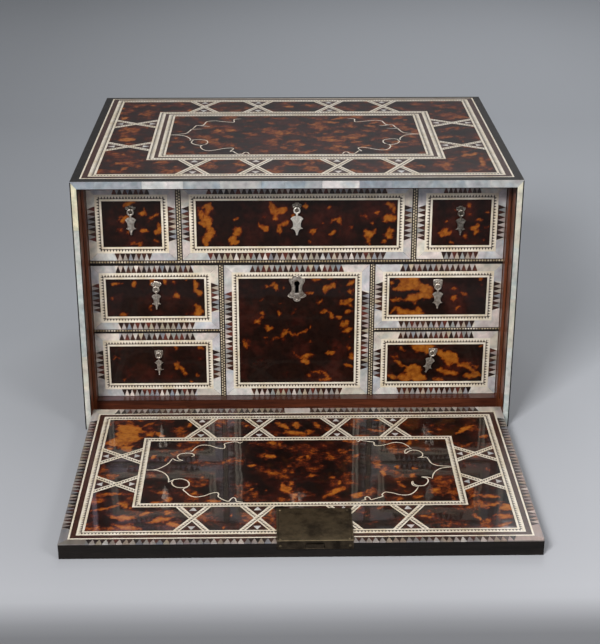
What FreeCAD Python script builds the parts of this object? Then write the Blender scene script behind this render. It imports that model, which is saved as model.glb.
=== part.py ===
import FreeCAD, Part
import math
import os
import re
from types import SimpleNamespace

import Sketcher

# Table cabinet with a drop front and eight drawers, veneered with tortoiseshell, bone and
# mother-of-pearl. The origin is the middle of the carcase's underside, the drawers face -Y
# and the fall lies open in front of the carcase.
doc = FreeCAD.newDocument("table_cabinet")
V = FreeCAD.Vector

SIZE_TABLE = (
    # Carcase
    ("width", 460.0, "carcase, side to side"),
    ("depth", 346.0, "carcase, front to back"),
    ("height", 280.0, "carcase, base to top"),
    ("veneer", 1.2, "thickness of every veneer"),
    ("side_thickness", 9.7, "side board with its veneer"),
    ("top_thickness", 18.0, "top board with its veneer"),
    ("base_thickness", 20.0, "bottom board"),
    ("back_thickness", 8.0, "back board"),
    ("recess_depth", 30.0, "front edge back to the stiles"),
    ("ledge_depth", 11.0, "stiles back to the drawer faces"),
    ("edging_side", 6.5, "pearl edging on the sides, its width"),
    ("edging_top", 7.5, "pearl edging on the top, its height"),
    ("edging_thick", 1.2, "pearl edging, its thickness"),
    # Shelves and partitions
    ("shelf_thickness", 5.5, "shelf under the top drawers"),
    ("upper_shelf_share", 0.63822, "underside of that shelf, up the inside"),
    ("low_shelf_thickness", 4.2, "shelves between the side drawers"),
    ("lower_shelf_share", 0.31364, "underside of those shelves, up the inside"),
    ("partition_thickness", 5.0, "upright partitions"),
    ("upper_partition_x", 124.25, "middle of the upper partitions"),
    ("lower_partition_x", 81.0, "middle of the lower partitions"),
    # Drawers
    ("side_gap", 0.6, "drawer to its side walls"),
    ("under_gap", 0.3, "drawer to the shelf below"),
    ("over_gap", 0.5, "drawer to the shelf above"),
    ("drawer_back_gap", 9.0, "drawer to the back board"),
    ("front_board", 10.8, "drawer front behind its veneer"),
    ("drawer_side", 6.0, "drawer sides"),
    ("drawer_back", 6.0, "drawer back"),
    ("drawer_floor", 4.0, "drawer bottom"),
    ("side_step", 4.0, "front's top down to the sides' top"),
    ("back_step", 9.0, "front's top down to the back's top"),
    ("pearl_border", 8.1, "pearl border round a drawer front"),
    ("bone_frame", 7.1, "bone frame inside that border"),
    # Pulls
    ("rosette_half", 5.6, "rosette of a pull, half its width"),
    ("rosette_height", 11.0, "rosette, its height"),
    ("rosette_thick", 0.9, "rosette, its thickness"),
    ("rosette_drop", 5.4, "rosette's foot below the staple"),
    ("staple_wire", 1.1, "staple's eye, the width of its ring"),
    ("staple_hole", 1.5, "staple's eye, the radius of its hole"),
    ("staple_reach", 1.7, "staple's middle in front of the rosette"),
    ("shank_width", 1.8, "staple's square shank"),
    ("clinch_length", 7.0, "legs bent over inside the drawer"),
    ("clinch_thick", 0.9, "thickness of those legs"),
    ("eye_radius", 3.8, "eye of the drop, outside"),
    ("eye_hole", 2.0, "eye of the drop, inside"),
    ("drop_thick", 1.2, "thickness of the drop"),
    ("leaf_height", 21.8, "leaf of the drop with its neck, their height"),
    ("leaf_half", 6.2, "leaf of the drop, half its width"),
    # Lock of the middle drawer
    ("plate_half", 10.3, "escutcheon, half its width"),
    ("plate_height", 31.0, "escutcheon, its height"),
    ("plate_thick", 0.9, "escutcheon, its thickness"),
    ("plate_down", 42.15, "escutcheon, its foot below the drawer's top"),
    ("pin_head", 1.1, "escutcheon pins, their radius"),
    ("key_radius", 3.1, "keyhole, its round end"),
    ("key_slot", 3.9, "keyhole, the width of its slot"),
    ("key_length", 14.0, "keyhole, its full length"),
    ("key_down", 21.05, "keyhole's round end below the drawer's top"),
    ("case_width", 40.0, "drawer lock, its width"),
    ("case_height", 34.0, "drawer lock, its height"),
    ("case_depth", 8.0, "drawer lock, its depth"),
    ("case_top_gap", 1.6, "drawer front's top down to the lock"),
    ("bolt_width", 14.0, "drawer bolt, its width"),
    ("bolt_thick", 3.0, "drawer bolt, its thickness"),
    ("bolt_length", 20.0, "drawer bolt, its length"),
    ("bolt_gap", 0.3, "bolts in their channels"),
    ("bolt_throw", 4.0, "drawer bolt's travel"),
    ("mortise_play", 0.9, "mortises round the bolts, play"),
    # Fall and its hinge
    ("fall_thickness", 16.0, "fall with its veneers"),
    ("fall_side_gap", 0.5, "fall to the recess walls"),
    ("fall_top_gap", 0.5, "fall to the top's overhang"),
    ("pin_radius", 2.5, "hinge pins"),
    ("pin_play", 0.05, "hinge pins in the fall, play"),
    ("pin_in_side", 4.0, "hinge pins in the side boards"),
    ("pin_in_fall", 16.0, "hinge pins in the fall"),
    # Lock of the fall
    ("lock_x", 12.4, "lock's middle, to the right"),
    ("lock_width", 71.0, "lock plate, its width"),
    ("lock_length", 58.0, "lock plate, edge inwards"),
    ("lock_plate", 1.5, "lock plate, its thickness"),
    ("flange_height", 8.0, "plate folded over the edge"),
    ("flange_thick", 1.2, "folded part, its thickness"),
    ("lock_case_width", 56.0, "lock case, its width"),
    ("lock_case_length", 40.0, "lock case, its length"),
    ("lock_case_depth", 11.0, "lock case, below the fall's face"),
    ("fall_bolt_width", 16.0, "fall bolt, its width"),
    ("fall_bolt_thick", 4.0, "fall bolt, its thickness"),
    ("fall_bolt_length", 26.0, "fall bolt, its length"),
    ("fall_bolt_level", 11.5, "fall bolt's middle above the base"),
    ("fall_bolt_throw", 4.5, "fall bolt's travel"),
    ("fall_key_inset", 24.0, "fall's keyhole from its edge"),
    ("lock_pin", 1.5, "lock pins, their radius"),
    ("keep_length", 36.0, "keep in the top, its length"),
    ("keep_width", 9.6, "keep in the top, its width"),
    ("keep_thick", 1.0, "keep, its thickness"),
    ("keep_slot_depth", 5.4, "mortise for the bolt above the keep's face"),
    # Marquetry of the top
    ("top_edge_side", 8.5, "ebony border at the sides"),
    ("top_edge_front", 10.3, "ebony border at the front"),
    ("top_edge_back", 6.0, "ebony border at the back"),
    ("line_width", 1.7, "bone line"),
    ("band_width", 5.9, "tortoiseshell band inside the line"),
    ("strip_width", 7.8, "bone strip outside the panels"),
    ("top_field_side", 47.1, "panel ring at the sides"),
    ("top_field_front", 50.4, "panel ring at the front"),
    ("top_field_back", 48.6, "panel ring at the back"),
    ("frame_width", 7.4, "bone frame inside the panels"),
    ("frame_gap", 4.2, "band between the two frames"),
    ("strap_half", 18.0, "half the span of a cross at its ends"),
    ("strap_width", 6.6, "strap of a cross, measured along the frame"),
    ("top_cross_outer", 107.7, "outer crosses of the top from its middle"),
    ("top_cross_inner", 42.7, "inner crosses of the top from its middle"),
    ("top_cross_front", 43.5, "front side crosses, from the middle to the front"),
    ("top_cross_back", 50.3, "back side crosses, from the middle to the back"),
    # Marquetry of the carcase's sides
    ("wall_edge", 8.5, "ebony border of a side"),
    ("wall_field", 44.0, "panel ring of a side"),
    ("wall_cross", 46.0, "crosses from the side's middle"),
    # Marquetry of the fall
    ("fall_edge", 7.9, "pearl border of the fall"),
    ("fall_edge_hinge", 10.9, "pearl border at the hinge"),
    ("fall_band", 5.1, "tortoiseshell band of the fall"),
    ("fall_strip", 7.0, "bone strip of the fall"),
    ("fall_field_side", 40.2, "fall's panel ring at the ends"),
    ("fall_field_run", 42.4, "fall's panel ring along its length"),
    ("fall_frame", 7.2, "bone frame of the fall"),
    ("fall_strap_half", 17.0, "half the span of a cross on the fall"),
    ("fall_cross_outer", 102.4, "outer crosses of the fall from its middle"),
    ("fall_cross_inner", 41.0, "inner crosses of the fall from its middle"),
    ("fall_cross_side", 28.7, "side crosses, to either side of the frame's middle"),
    # Cuts
    ("over", 2.0, "how far a cutting tool runs past what it cuts"),
)

sheet = doc.addObject("Spreadsheet::Sheet", "Sizes")
for row, (alias, number, note) in enumerate(SIZE_TABLE, start=1):
    sheet.set(f"A{row}", note)
    sheet.set(f"B{row}", str(number))
    sheet.setAlias(f"B{row}", alias)
doc.recompute()
S = SimpleNamespace(**{alias: float(sheet.get(alias)) for alias, number, note in SIZE_TABLE})

nodes = []


def bound(text):
    """An expression over the sheet's cells from one over their plain names."""
    return re.sub(r"[a-z_]{2,}", r"Sizes.\g<0>", text)


def place(item, x, y, z):
    """Bind an object's position to the sheet."""
    item.setExpression("Placement.Base.x", bound(x))
    item.setExpression("Placement.Base.y", bound(y))
    item.setExpression("Placement.Base.z", bound(z))
    return item


def box(name, x, y, z, length, width, height):
    """A block from its lowest corner and its sizes along X, Y and Z."""
    item = doc.addObject("Part::Box", name)
    item.setExpression("Length", bound(length))
    item.setExpression("Width", bound(width))
    item.setExpression("Height", bound(height))
    return place(item, x, y, z)


ALONG_X = FreeCAD.Rotation(V(0, 1, 0), 90)
ALONG_Y = FreeCAD.Rotation(V(1, 0, 0), -90)
ALONG_Z = FreeCAD.Rotation()


def rod(name, turn, x, y, z, radius, length):
    """A cylinder whose axis points along +X, +Y or +Z."""
    item = doc.addObject("Part::Cylinder", name)
    item.Placement = FreeCAD.Placement(V(), turn)
    item.setExpression("Radius", bound(radius))
    item.setExpression("Height", bound(length))
    return place(item, x, y, z)


def group(name, members):
    """Several solids kept together, each still its own solid."""
    item = doc.addObject("Part::Compound", name)
    item.Links = members
    return item


def fuse(name, members):
    """Several shapes made into one."""
    item = doc.addObject("Part::MultiFuse", name)
    item.Shapes = members
    return item


def cut(name, base, tools):
    """A shape less others."""
    item = doc.addObject("Part::Cut", name)
    item.Base = base
    item.Tool = tools[0] if len(tools) == 1 else fuse(name + "_tools", tools)
    return item


def node(label, item):
    """Names a finished sub-part."""
    item.Label = label
    nodes.append(item)
    return item


def outline_sketch(name, turn, points):
    """A closed outline whose corners are bound to the sheet."""
    item = doc.addObject("Sketcher::SketchObject", name)
    item.Placement = FreeCAD.Placement(V(), turn)
    count = len(points)
    for i in range(count):
        start = V(i, i * i, 0)
        end = V((i + 1) % count, ((i + 1) % count) ** 2, 0)
        item.addGeometry(Part.LineSegment(start, end), False)
    for i in range(count):
        item.addConstraint(Sketcher.Constraint("Coincident", i, 2, (i + 1) % count, 1))
    for i, (across, up) in enumerate(points):
        for kind, text in (("DistanceX", across), ("DistanceY", up)):
            rule = item.addConstraint(Sketcher.Constraint(kind, -1, 1, i, 1, 1.0))
            item.setExpression(f"Constraints[{rule}]", bound(text))
    return item


def extrude(name, base, direction, length):
    """A sketch drawn out into a solid."""
    item = doc.addObject("Part::Extrusion", name)
    item.Base = base
    item.DirMode = "Custom"
    item.Dir = direction
    item.Solid = True
    item.setExpression("LengthFwd", bound(length))
    return item


FACING_FRONT = FreeCAD.Rotation(V(1, 0, 0), 90)
FACING_RIGHT = FreeCAD.Rotation(V(1, 1, 1), 120)

# Carcase boards
plan = outline_sketch("side_plan", ALONG_Z, (
    ("-width/2+veneer", "-depth/2+edging_thick"),
    ("-width/2+edging_side", "-depth/2+edging_thick"),
    ("-width/2+edging_side", "-depth/2+recess_depth"),
    ("-width/2+side_thickness", "-depth/2+recess_depth"),
    ("-width/2+side_thickness", "depth/2"),
    ("-width/2+veneer", "depth/2"),
))
side_blank = extrude("side_blank", plan, V(0, 0, 1), "height-top_thickness")
side_hole = rod("side_hole", ALONG_X, "-width/2+edging_side-pin_in_side",
                "-depth/2+fall_thickness/2", "fall_thickness/2", "pin_radius",
                "pin_in_side+over")
left_side = node("left_side", cut("left_side_cut", side_blank, [side_hole]))
right_side = doc.addObject("Part::Mirroring", "right_side_mirror")
right_side.Source = left_side
right_side.Normal = V(1, 0, 0)
node("right_side", right_side)

top_blank = box("top_blank", "-width/2+veneer", "-depth/2+edging_thick", "height-top_thickness",
                "width-2*veneer", "depth-edging_thick", "top_thickness-veneer")
top_rebate = box("top_rebate", "-width/2+edging_side", "-depth/2-over",
                 "height-top_thickness-over", "width-2*edging_side",
                 "recess_depth+over", "top_thickness-edging_top+over")
keep_seat = box("keep_seat", "lock_x-keep_length/2",
                "-depth/2+fall_bolt_level-keep_width/2", "height-edging_top-over",
                "keep_length", "keep_width", "keep_thick+over")
keep_mortise = box("keep_mortise", "lock_x-fall_bolt_width/2-bolt_gap*2",
                   "-depth/2+fall_bolt_level-fall_bolt_thick/2-bolt_gap*2",
                   "height-edging_top-over", "fall_bolt_width+bolt_gap*4",
                   "fall_bolt_thick+bolt_gap*4", "keep_slot_depth+over")
node("top_board", cut("top_cut", top_blank, [top_rebate, keep_seat, keep_mortise]))
node("bottom_board", box("base_block", "-width/2+side_thickness", "-depth/2+recess_depth", "0",
                         "width-2*side_thickness", "depth-recess_depth-back_thickness",
                         "base_thickness"))
node("back_board", box("back_block", "-width/2+side_thickness", "depth/2-back_thickness", "0",
                       "width-2*side_thickness", "back_thickness", "height-top_thickness"))

# Shelves and partitions, flush with the drawer faces
WALL_Y = "-depth/2+recess_depth+ledge_depth"
WALL_RUN = "depth-recess_depth-ledge_depth-back_thickness"
INSIDE = "(height-top_thickness-base_thickness)"
SHELF = f"(base_thickness+upper_shelf_share*{INSIDE})"
LOW_SHELF = f"(base_thickness+lower_shelf_share*{INSIDE})"
shelf_blank = box("shelf_blank", "-width/2+side_thickness", WALL_Y, SHELF,
                  "width-2*side_thickness", WALL_RUN, "shelf_thickness")
shelf_slot = box("shelf_slot", "-bolt_width/2-mortise_play",
                 WALL_Y + "+veneer+front_board+(case_depth-bolt_thick)/2-mortise_play",
                 f"{SHELF}-over", "bolt_width+2*mortise_play", "bolt_thick+2*mortise_play",
                 "shelf_thickness+over-bolt_gap")
dividers = [cut("shelf_cut", shelf_blank, [shelf_slot])]
for hand, sign in (("left", "-"), ("right", "")):
    dividers.append(box(f"upper_partition_{hand}", f"{sign}upper_partition_x-partition_thickness/2",
                        WALL_Y, f"{SHELF}+shelf_thickness", "partition_thickness", WALL_RUN,
                        f"height-top_thickness-{SHELF}-shelf_thickness"))
    dividers.append(box(f"lower_partition_{hand}", f"{sign}lower_partition_x-partition_thickness/2",
                        WALL_Y, "base_thickness", "partition_thickness", WALL_RUN,
                        f"{SHELF}-base_thickness"))
LOW_SHELF_RUN = "width/2-side_thickness-lower_partition_x-partition_thickness/2"
dividers.append(box("low_shelf_left", "-width/2+side_thickness", WALL_Y, LOW_SHELF,
                    LOW_SHELF_RUN, WALL_RUN, "low_shelf_thickness"))
dividers.append(box("low_shelf_right", "lower_partition_x+partition_thickness/2", WALL_Y,
                    LOW_SHELF, LOW_SHELF_RUN, WALL_RUN, "low_shelf_thickness"))
node("dividers", group("divider_group", dividers))

# Mother-of-pearl edging, mitred at the upper corners
EDGING = {
    "left": (("-width/2", "0"), ("-width/2+edging_side", "0"),
             ("-width/2+edging_side", "height-edging_top"), ("-width/2", "height")),
    "top": (("-width/2", "height"), ("-width/2+edging_side", "height-edging_top"),
            ("width/2-edging_side", "height-edging_top"), ("width/2", "height")),
    "right": (("width/2", "0"), ("width/2", "height"),
              ("width/2-edging_side", "height-edging_top"), ("width/2-edging_side", "0")),
}
strips = []
for where, points in EDGING.items():
    sketch = outline_sketch(f"edging_{where}_outline", FACING_FRONT, points)
    sketch.setExpression("Placement.Base.y", bound("-depth/2"))
    strips.append(extrude(f"edging_{where}", sketch, V(0, 1, 0), "edging_thick"))
node("front_edging", group("edging_group", strips))

# Hinge pins and the keep for the fall's bolt
PIN_RUN = "pin_in_side+fall_side_gap+pin_in_fall"
PIN_Y = "-depth/2+fall_thickness/2"
pins = [
    rod("pin_left", ALONG_X, "-width/2+edging_side-pin_in_side", PIN_Y, "fall_thickness/2",
        "pin_radius", PIN_RUN),
    rod("pin_right", ALONG_X, "width/2-edging_side-fall_side_gap-pin_in_fall", PIN_Y,
        "fall_thickness/2", "pin_radius", PIN_RUN),
]
node("hinge_pins", group("pin_group", pins))
keep_blank = box("keep_blank", "lock_x-keep_length/2",
                 "-depth/2+fall_bolt_level-keep_width/2", "height-edging_top",
                 "keep_length", "keep_width", "keep_thick")
node("lock_keep", cut("keep_cut", keep_blank, [keep_mortise]))


def rectangle(left, low, right, high):
    """A flat rectangular face."""
    corners = [V(left, low, 0), V(right, low, 0), V(right, high, 0), V(left, high, 0)]
    return Part.Face(Part.makePolygon(corners + corners[:1]))


def polygon(points):
    """A flat face from its corners."""
    corners = [V(u, v, 0) for u, v in points]
    return Part.Face(Part.makePolygon(corners + corners[:1]))


def inset(rect, left, low, right, high):
    """A rectangle drawn in from its four sides."""
    return (rect[0] + left, rect[1] + low, rect[2] - right, rect[3] - high)


FILLER_SHARE = 0.55


def cross(rect, inner, side, centre, half, strap):
    """The two straps of one cross and the small triangles between their ends."""
    low, high = {
        "low": (rect[1], inner[1]),
        "high": (inner[3], rect[3]),
        "left": (rect[0], inner[0]),
        "right": (inner[2], rect[2]),
    }[side]
    turned = side in ("left", "right")

    def at(along, over):
        return (over, along) if turned else (along, over)

    arms = []
    for way in (-1, 1):
        arms.append(polygon([
            at(centre - way * half, low),
            at(centre - way * (half - strap), low),
            at(centre + way * half, high),
            at(centre + way * (half - strap), high),
        ]))
    saltire = arms[0].fuse(arms[1]).removeSplitter()
    reach = (half - strap) / (2 * half - strap) * (high - low) * FILLER_SHARE
    base = (half - strap) * FILLER_SHARE
    fillers = [
        polygon([at(centre - base, low), at(centre + base, low), at(centre, low + reach)]),
        polygon([at(centre - base, high), at(centre + base, high), at(centre, high - reach)]),
    ]
    return saltire.Faces, fillers


def marquetry(rect, edge, widths, field, crosses, half, strap, filled=True):
    """Faces of one veneered surface: its border, its bone strapwork and its panels."""
    line, band, strip, frame, gap, second = widths
    border_in = inset(rect, *edge)
    line_in = inset(border_in, line, line, line, line)
    band_in = inset(line_in, band, band, band, band)
    strip_in = inset(band_in, strip, strip, strip, strip)
    field_in = inset(strip_in, *field)
    frame_in = inset(field_in, frame, frame, frame, frame)
    gap_in = inset(frame_in, gap, gap, gap, gap)
    middle = inset(gap_in, second, second, second, second)

    def ring(outer, inner):
        return rectangle(*outer).cut(rectangle(*inner)).Faces

    bone = ring(border_in, line_in) + ring(band_in, strip_in) + ring(field_in, frame_in)
    panels = ring(line_in, band_in)
    if gap:
        bone += ring(gap_in, middle)
        panels += ring(frame_in, gap_in)
    panels.append(rectangle(*middle))
    inlay = []
    for side, centre in crosses:
        saltire, fillers = cross(strip_in, field_in, side, centre, half, strap)
        inlay += saltire + (fillers if filled else [])
    bone += inlay
    panels += ring(strip_in, field_in)[0].cut(inlay).Faces
    return {"border": ring(rect, border_in), "bone": bone, "panels": panels}


def laid(faces, turn, x, y, z):
    """Faces given the veneer's thickness and laid on a surface."""
    solids = []
    for face in faces:
        solid = face.extrude(V(0, 0, S.veneer))
        solid.Placement = FreeCAD.Placement(V(x, y, z), turn)
        solids.append(solid)
    return solids


def feature(name, solids, tools=()):
    """Solids made from the sheet's values, less the tools."""
    if tools:
        solids = [piece for solid in solids for piece in solid.cut(list(tools)).Solids]
    item = doc.addObject("Part::Feature", name)
    item.Shape = Part.makeCompound(solids)
    return item


# Veneers of the top and the two sides
TOP_RECT = (-S.width / 2, -S.depth / 2 + S.edging_thick, S.width / 2, S.depth / 2)
TOP_EDGE = (S.top_edge_side, S.top_edge_front, S.top_edge_side, S.top_edge_back)
TOP_FIELD = (S.top_field_side, S.top_field_front, S.top_field_side, S.top_field_back)
WIDTHS = (S.line_width, S.band_width, S.strip_width, S.frame_width, S.frame_gap, S.frame_width)
TOP_CROSSES = [(run, sign * at) for run in ("low", "high") for sign in (-1, 1)
               for at in (S.top_cross_outer, S.top_cross_inner)]
TOP_CROSSES += [(run, at) for run in ("left", "right")
                for at in (-S.top_cross_front, S.top_cross_back)]
top_faces = marquetry(TOP_RECT, TOP_EDGE, WIDTHS, TOP_FIELD, TOP_CROSSES, S.strap_half,
                      S.strap_width)
WALL_RECT = (-S.depth / 2 + S.edging_thick, 0, S.depth / 2, S.height - S.veneer)
WALL_CROSSES = [(run, sign * S.wall_cross) for run in ("low", "high") for sign in (-1, 1)]
WALL_CROSSES += [(run, (S.height - S.veneer) / 2) for run in ("left", "right")]
wall_faces = marquetry(WALL_RECT, (S.wall_edge,) * 4, WIDTHS, (S.wall_field,) * 4, WALL_CROSSES,
                       S.strap_half, S.strap_width, filled=False)
for label, part in (("carcase_borders", "border"), ("carcase_strapwork", "bone"),
                    ("carcase_panels", "panels")):
    solids = laid(top_faces[part], ALONG_Z, 0, 0, S.height - S.veneer)
    solids += laid(wall_faces[part], FACING_RIGHT, -S.width / 2, 0, 0)
    solids += laid(wall_faces[part], FACING_RIGHT, S.width / 2 - S.veneer, 0, 0)
    node(label, feature(label + "_laid", solids))

# Fall board, lying open: its lower hinge corner is rounded about the pins, and its outer
# face is let in for the panels
HINGE_END = "-depth/2+fall_thickness"
FALL_RUN = "height-edging_top-fall_top_gap"
FALL_EDGE = f"{HINGE_END}-({FALL_RUN})"
FALL_LEFT = "-width/2+edging_side+fall_side_gap"
FALL_WIDTH = "width-2*edging_side-2*fall_side_gap"
fall_slab = box("fall_slab", FALL_LEFT, FALL_EDGE, "0", FALL_WIDTH,
                f"{FALL_RUN}-fall_thickness/2", "fall_thickness-veneer")
inlay_seat = box("inlay_seat", f"{FALL_LEFT}+fall_edge", f"{FALL_EDGE}+fall_edge", "-over",
                 f"{FALL_WIDTH}-2*fall_edge", f"{FALL_RUN}-fall_thickness/2-2*fall_edge",
                 "veneer+over")
fall_heel = rod("fall_heel", ALONG_X, FALL_LEFT, PIN_Y, "fall_thickness/2", "fall_thickness/2",
                FALL_WIDTH)
heel_top = box("heel_top", FALL_LEFT, PIN_Y, "fall_thickness/2", FALL_WIDTH,
               "fall_thickness/2", "fall_thickness/2-veneer")
heel_over = box("heel_over", f"{FALL_LEFT}-over", f"{PIN_Y}-fall_thickness", "-over",
                f"{FALL_WIDTH}+2*over", "fall_thickness", "fall_thickness+2*over")
heel_lid = box("heel_lid", f"{FALL_LEFT}-over", f"{PIN_Y}-over", "fall_thickness-veneer",
               f"{FALL_WIDTH}+2*over", "fall_thickness+over", "veneer+over")
heel = cut("heel_cut", fall_heel, [heel_over, heel_lid])
fall_blank = fuse("fall_blank", [fall_slab, heel, heel_top])
HOLE_RUN = "pin_in_fall+bolt_gap+over"
hole_left = rod("hole_left", ALONG_X, f"{FALL_LEFT}-over", PIN_Y, "fall_thickness/2",
                "pin_radius+pin_play", HOLE_RUN)
hole_right = rod("hole_right", ALONG_X, f"width/2-edging_side-fall_side_gap-pin_in_fall-bolt_gap",
                 PIN_Y, "fall_thickness/2", "pin_radius+pin_play", HOLE_RUN)
mortise = box("mortise", "lock_x-lock_case_width/2", f"{FALL_EDGE}+flange_thick",
              "fall_thickness-lock_case_depth", "lock_case_width", "lock_case_length",
              "lock_case_depth+over")
flange_seat = box("flange_seat", "lock_x-lock_width/2", f"{FALL_EDGE}-over",
                  "fall_thickness-flange_height", "lock_width", "flange_thick+over",
                  "flange_height+over")
key_round = rod("key_round", ALONG_Z, "lock_x", f"{FALL_EDGE}+fall_key_inset", "-over",
                "key_radius", "fall_thickness-lock_case_depth+2*over")
key_slot = box("key_slot_tool", "lock_x-key_slot/2",
               f"{FALL_EDGE}+fall_key_inset-key_length+key_radius", "-over", "key_slot",
               "key_length-key_radius", "fall_thickness-lock_case_depth+2*over")
node("fall_board", cut("fall_cut", fall_blank,
                       [inlay_seat, hole_left, hole_right, mortise, flange_seat, key_round,
                        key_slot]))
doc.recompute()

# Veneers of the fall's two faces
hinge_end = -S.depth / 2 + S.fall_thickness
fall_edge = hinge_end - (S.height - S.edging_top - S.fall_top_gap)
fall_half = S.width / 2 - S.edging_side - S.fall_side_gap
FALL_RECT = (-fall_half, fall_edge, fall_half, hinge_end)
FALL_FIELD = (S.fall_field_side, S.fall_field_run, S.fall_field_side, S.fall_field_run)
FALL_WIDTHS = (S.line_width, S.fall_band, S.fall_strip, S.fall_frame, 0, 0)
frame_low = fall_edge + S.fall_edge + S.line_width + S.fall_band + S.fall_strip + S.fall_field_run
frame_high = (hinge_end - S.fall_edge_hinge - S.line_width - S.fall_band - S.fall_strip
              - S.fall_field_run)
frame_middle = (frame_low + frame_high) / 2
FALL_CROSSES = [(run, sign * at) for run in ("low", "high") for sign in (-1, 1)
                for at in (S.fall_cross_outer, S.fall_cross_inner)]
FALL_CROSSES += [(run, frame_middle + sign * S.fall_cross_side) for run in ("left", "right")
                 for sign in (-1, 1)]
fall_faces = marquetry(FALL_RECT, (S.fall_edge, S.fall_edge, S.fall_edge, S.fall_edge_hinge),
                       FALL_WIDTHS, FALL_FIELD, FALL_CROSSES, S.fall_strap_half, S.strap_width)
LOCK_TOOLS = (mortise.Shape, flange_seat.Shape)
for label, part in (("fall_border", "border"), ("fall_strapwork", "bone"),
                    ("fall_panels", "panels")):
    solids = laid(fall_faces[part], ALONG_Z, 0, 0, S.fall_thickness - S.veneer)
    node(label, feature(label + "_laid", solids, LOCK_TOOLS))
OUTER_RECT = (-fall_half, fall_edge, fall_half, -S.depth / 2 + S.fall_thickness / 2)
outer_faces = marquetry(OUTER_RECT, (S.fall_edge,) * 4, FALL_WIDTHS, FALL_FIELD, FALL_CROSSES,
                        S.fall_strap_half, S.strap_width, filled=False)
solids = laid(outer_faces["bone"] + outer_faces["panels"], ALONG_Z, 0, 0, 0)
node("fall_outer_veneer", feature("fall_outer_laid", solids, (key_round.Shape, key_slot.Shape)))

# Lock of the fall: plate, folded edge, case and pins, with its sliding bolt
lock_plate = box("lock_plate_block", "lock_x-lock_width/2", FALL_EDGE, "fall_thickness",
                 "lock_width", "lock_length", "lock_plate")
lock_flange = box("lock_flange", "lock_x-lock_width/2", FALL_EDGE,
                  "fall_thickness-flange_height", "lock_width", "flange_thick",
                  "flange_height")
lock_case = box("lock_case", "lock_x-lock_case_width/2", f"{FALL_EDGE}+flange_thick",
                "fall_thickness-lock_case_depth", "lock_case_width", "lock_case_length",
                "lock_case_depth")
channel = box("channel", "lock_x-fall_bolt_width/2-bolt_gap", f"{FALL_EDGE}-over",
              "fall_bolt_level-fall_bolt_thick/2-bolt_gap", "fall_bolt_width+2*bolt_gap",
              "fall_bolt_length+bolt_gap+over", "fall_bolt_thick+2*bolt_gap")
PIN_INSET = "lock_pin*2.2"
pin_heads = []
for i, (across, along) in enumerate((("-", 0), ("+", 0), ("-", 1), ("+", 1))):
    head = doc.addObject("Part::Prism", f"lock_pin_{i}")
    head.setExpression("Circumradius", bound("lock_pin"))
    head.setExpression("Height", bound("lock_pin/2"))
    y = f"{FALL_EDGE}+{PIN_INSET}" if along == 0 else f"{FALL_EDGE}+lock_length-{PIN_INSET}"
    place(head, f"lock_x{across}(lock_width/2-{PIN_INSET})", y, "fall_thickness+lock_plate")
    pin_heads.append(head)
lock_body = fuse("lock_body", [lock_plate, lock_flange, lock_case] + pin_heads)
node("fall_lock", cut("lock_cut", lock_body, [channel]))
node("fall_lock_bolt", box("fall_bolt", "lock_x-fall_bolt_width/2", FALL_EDGE,
                           "fall_bolt_level-fall_bolt_thick/2", "fall_bolt_width",
                           "fall_bolt_length", "fall_bolt_thick"))

# Drawers: left and right limits, lower and upper limits, and the pull's height
INNER = "width/2-side_thickness-side_gap"
UPPER_WALL = "upper_partition_x+partition_thickness/2+side_gap"
UPPER_MID = "upper_partition_x-partition_thickness/2-side_gap"
LOWER_WALL = "lower_partition_x+partition_thickness/2+side_gap"
LOWER_MID = "lower_partition_x-partition_thickness/2-side_gap"
TOP_ROW = (f"{SHELF}+shelf_thickness+under_gap", "height-top_thickness-over_gap")
MID_ROW = (f"{LOW_SHELF}+low_shelf_thickness+under_gap", f"{SHELF}-over_gap")
LOW_ROW = ("base_thickness+under_gap", f"{LOW_SHELF}-over_gap")
TALL_ROW = ("base_thickness+under_gap", f"{SHELF}-over_gap")
DRAWERS = {
    "top_left": (f"-({INNER})", f"-({UPPER_WALL})", TOP_ROW),
    "top_centre": (f"-({UPPER_MID})", UPPER_MID, TOP_ROW),
    "top_right": (UPPER_WALL, INNER, TOP_ROW),
    "mid_left": (f"-({INNER})", f"-({LOWER_WALL})", MID_ROW),
    "mid_right": (LOWER_WALL, INNER, MID_ROW),
    "low_left": (f"-({INNER})", f"-({LOWER_WALL})", LOW_ROW),
    "low_right": (LOWER_WALL, INNER, LOW_ROW),
    "centre": (f"-({LOWER_MID})", LOWER_MID, TALL_ROW),
}
PULL_SHARES = {
    "top_left": (0.490, 0.706), "top_centre": (0.500, 0.720), "top_right": (0.489, 0.672),
    "mid_left": (0.507, 0.683), "mid_right": (0.497, 0.699), "low_left": (0.506, 0.701),
    "low_right": (0.480, 0.705),
}
FACE_Y = WALL_Y
BOARD_Y = f"{WALL_Y}+veneer"
INSIDE_Y = f"{WALL_Y}+veneer+front_board"
DRAWER_RUN = f"({WALL_RUN}-drawer_back_gap)"
CENTRE_TOP = f"({SHELF}-over_gap)"


def number(text):
    """The value of an expression over the sheet's plain names."""
    return float(FreeCAD.Units.Quantity(sheet.evalExpression(bound(text).replace("Sizes.", ""))))


# Right half of a leaf's outline, in shares of its half width and of its height from the top
LEAF_SHARES = (
    ((0.16, 0.0), (0.19, 0.12)),
    ((0.19, 0.12), (0.56, 0.145), (0.98, 0.25)),
    ((0.98, 0.25), (0.74, 0.34), (0.58, 0.52)),
    ((0.58, 0.52), (0.66, 0.63), (0.94, 0.70)),
    ((0.94, 0.70), (0.52, 0.72), (0.28, 0.80)),
    ((0.28, 0.80), (0.13, 0.93)),
    ((0.13, 0.93), (0.12, 0.98), (0.0, 1.0)),
)
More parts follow.
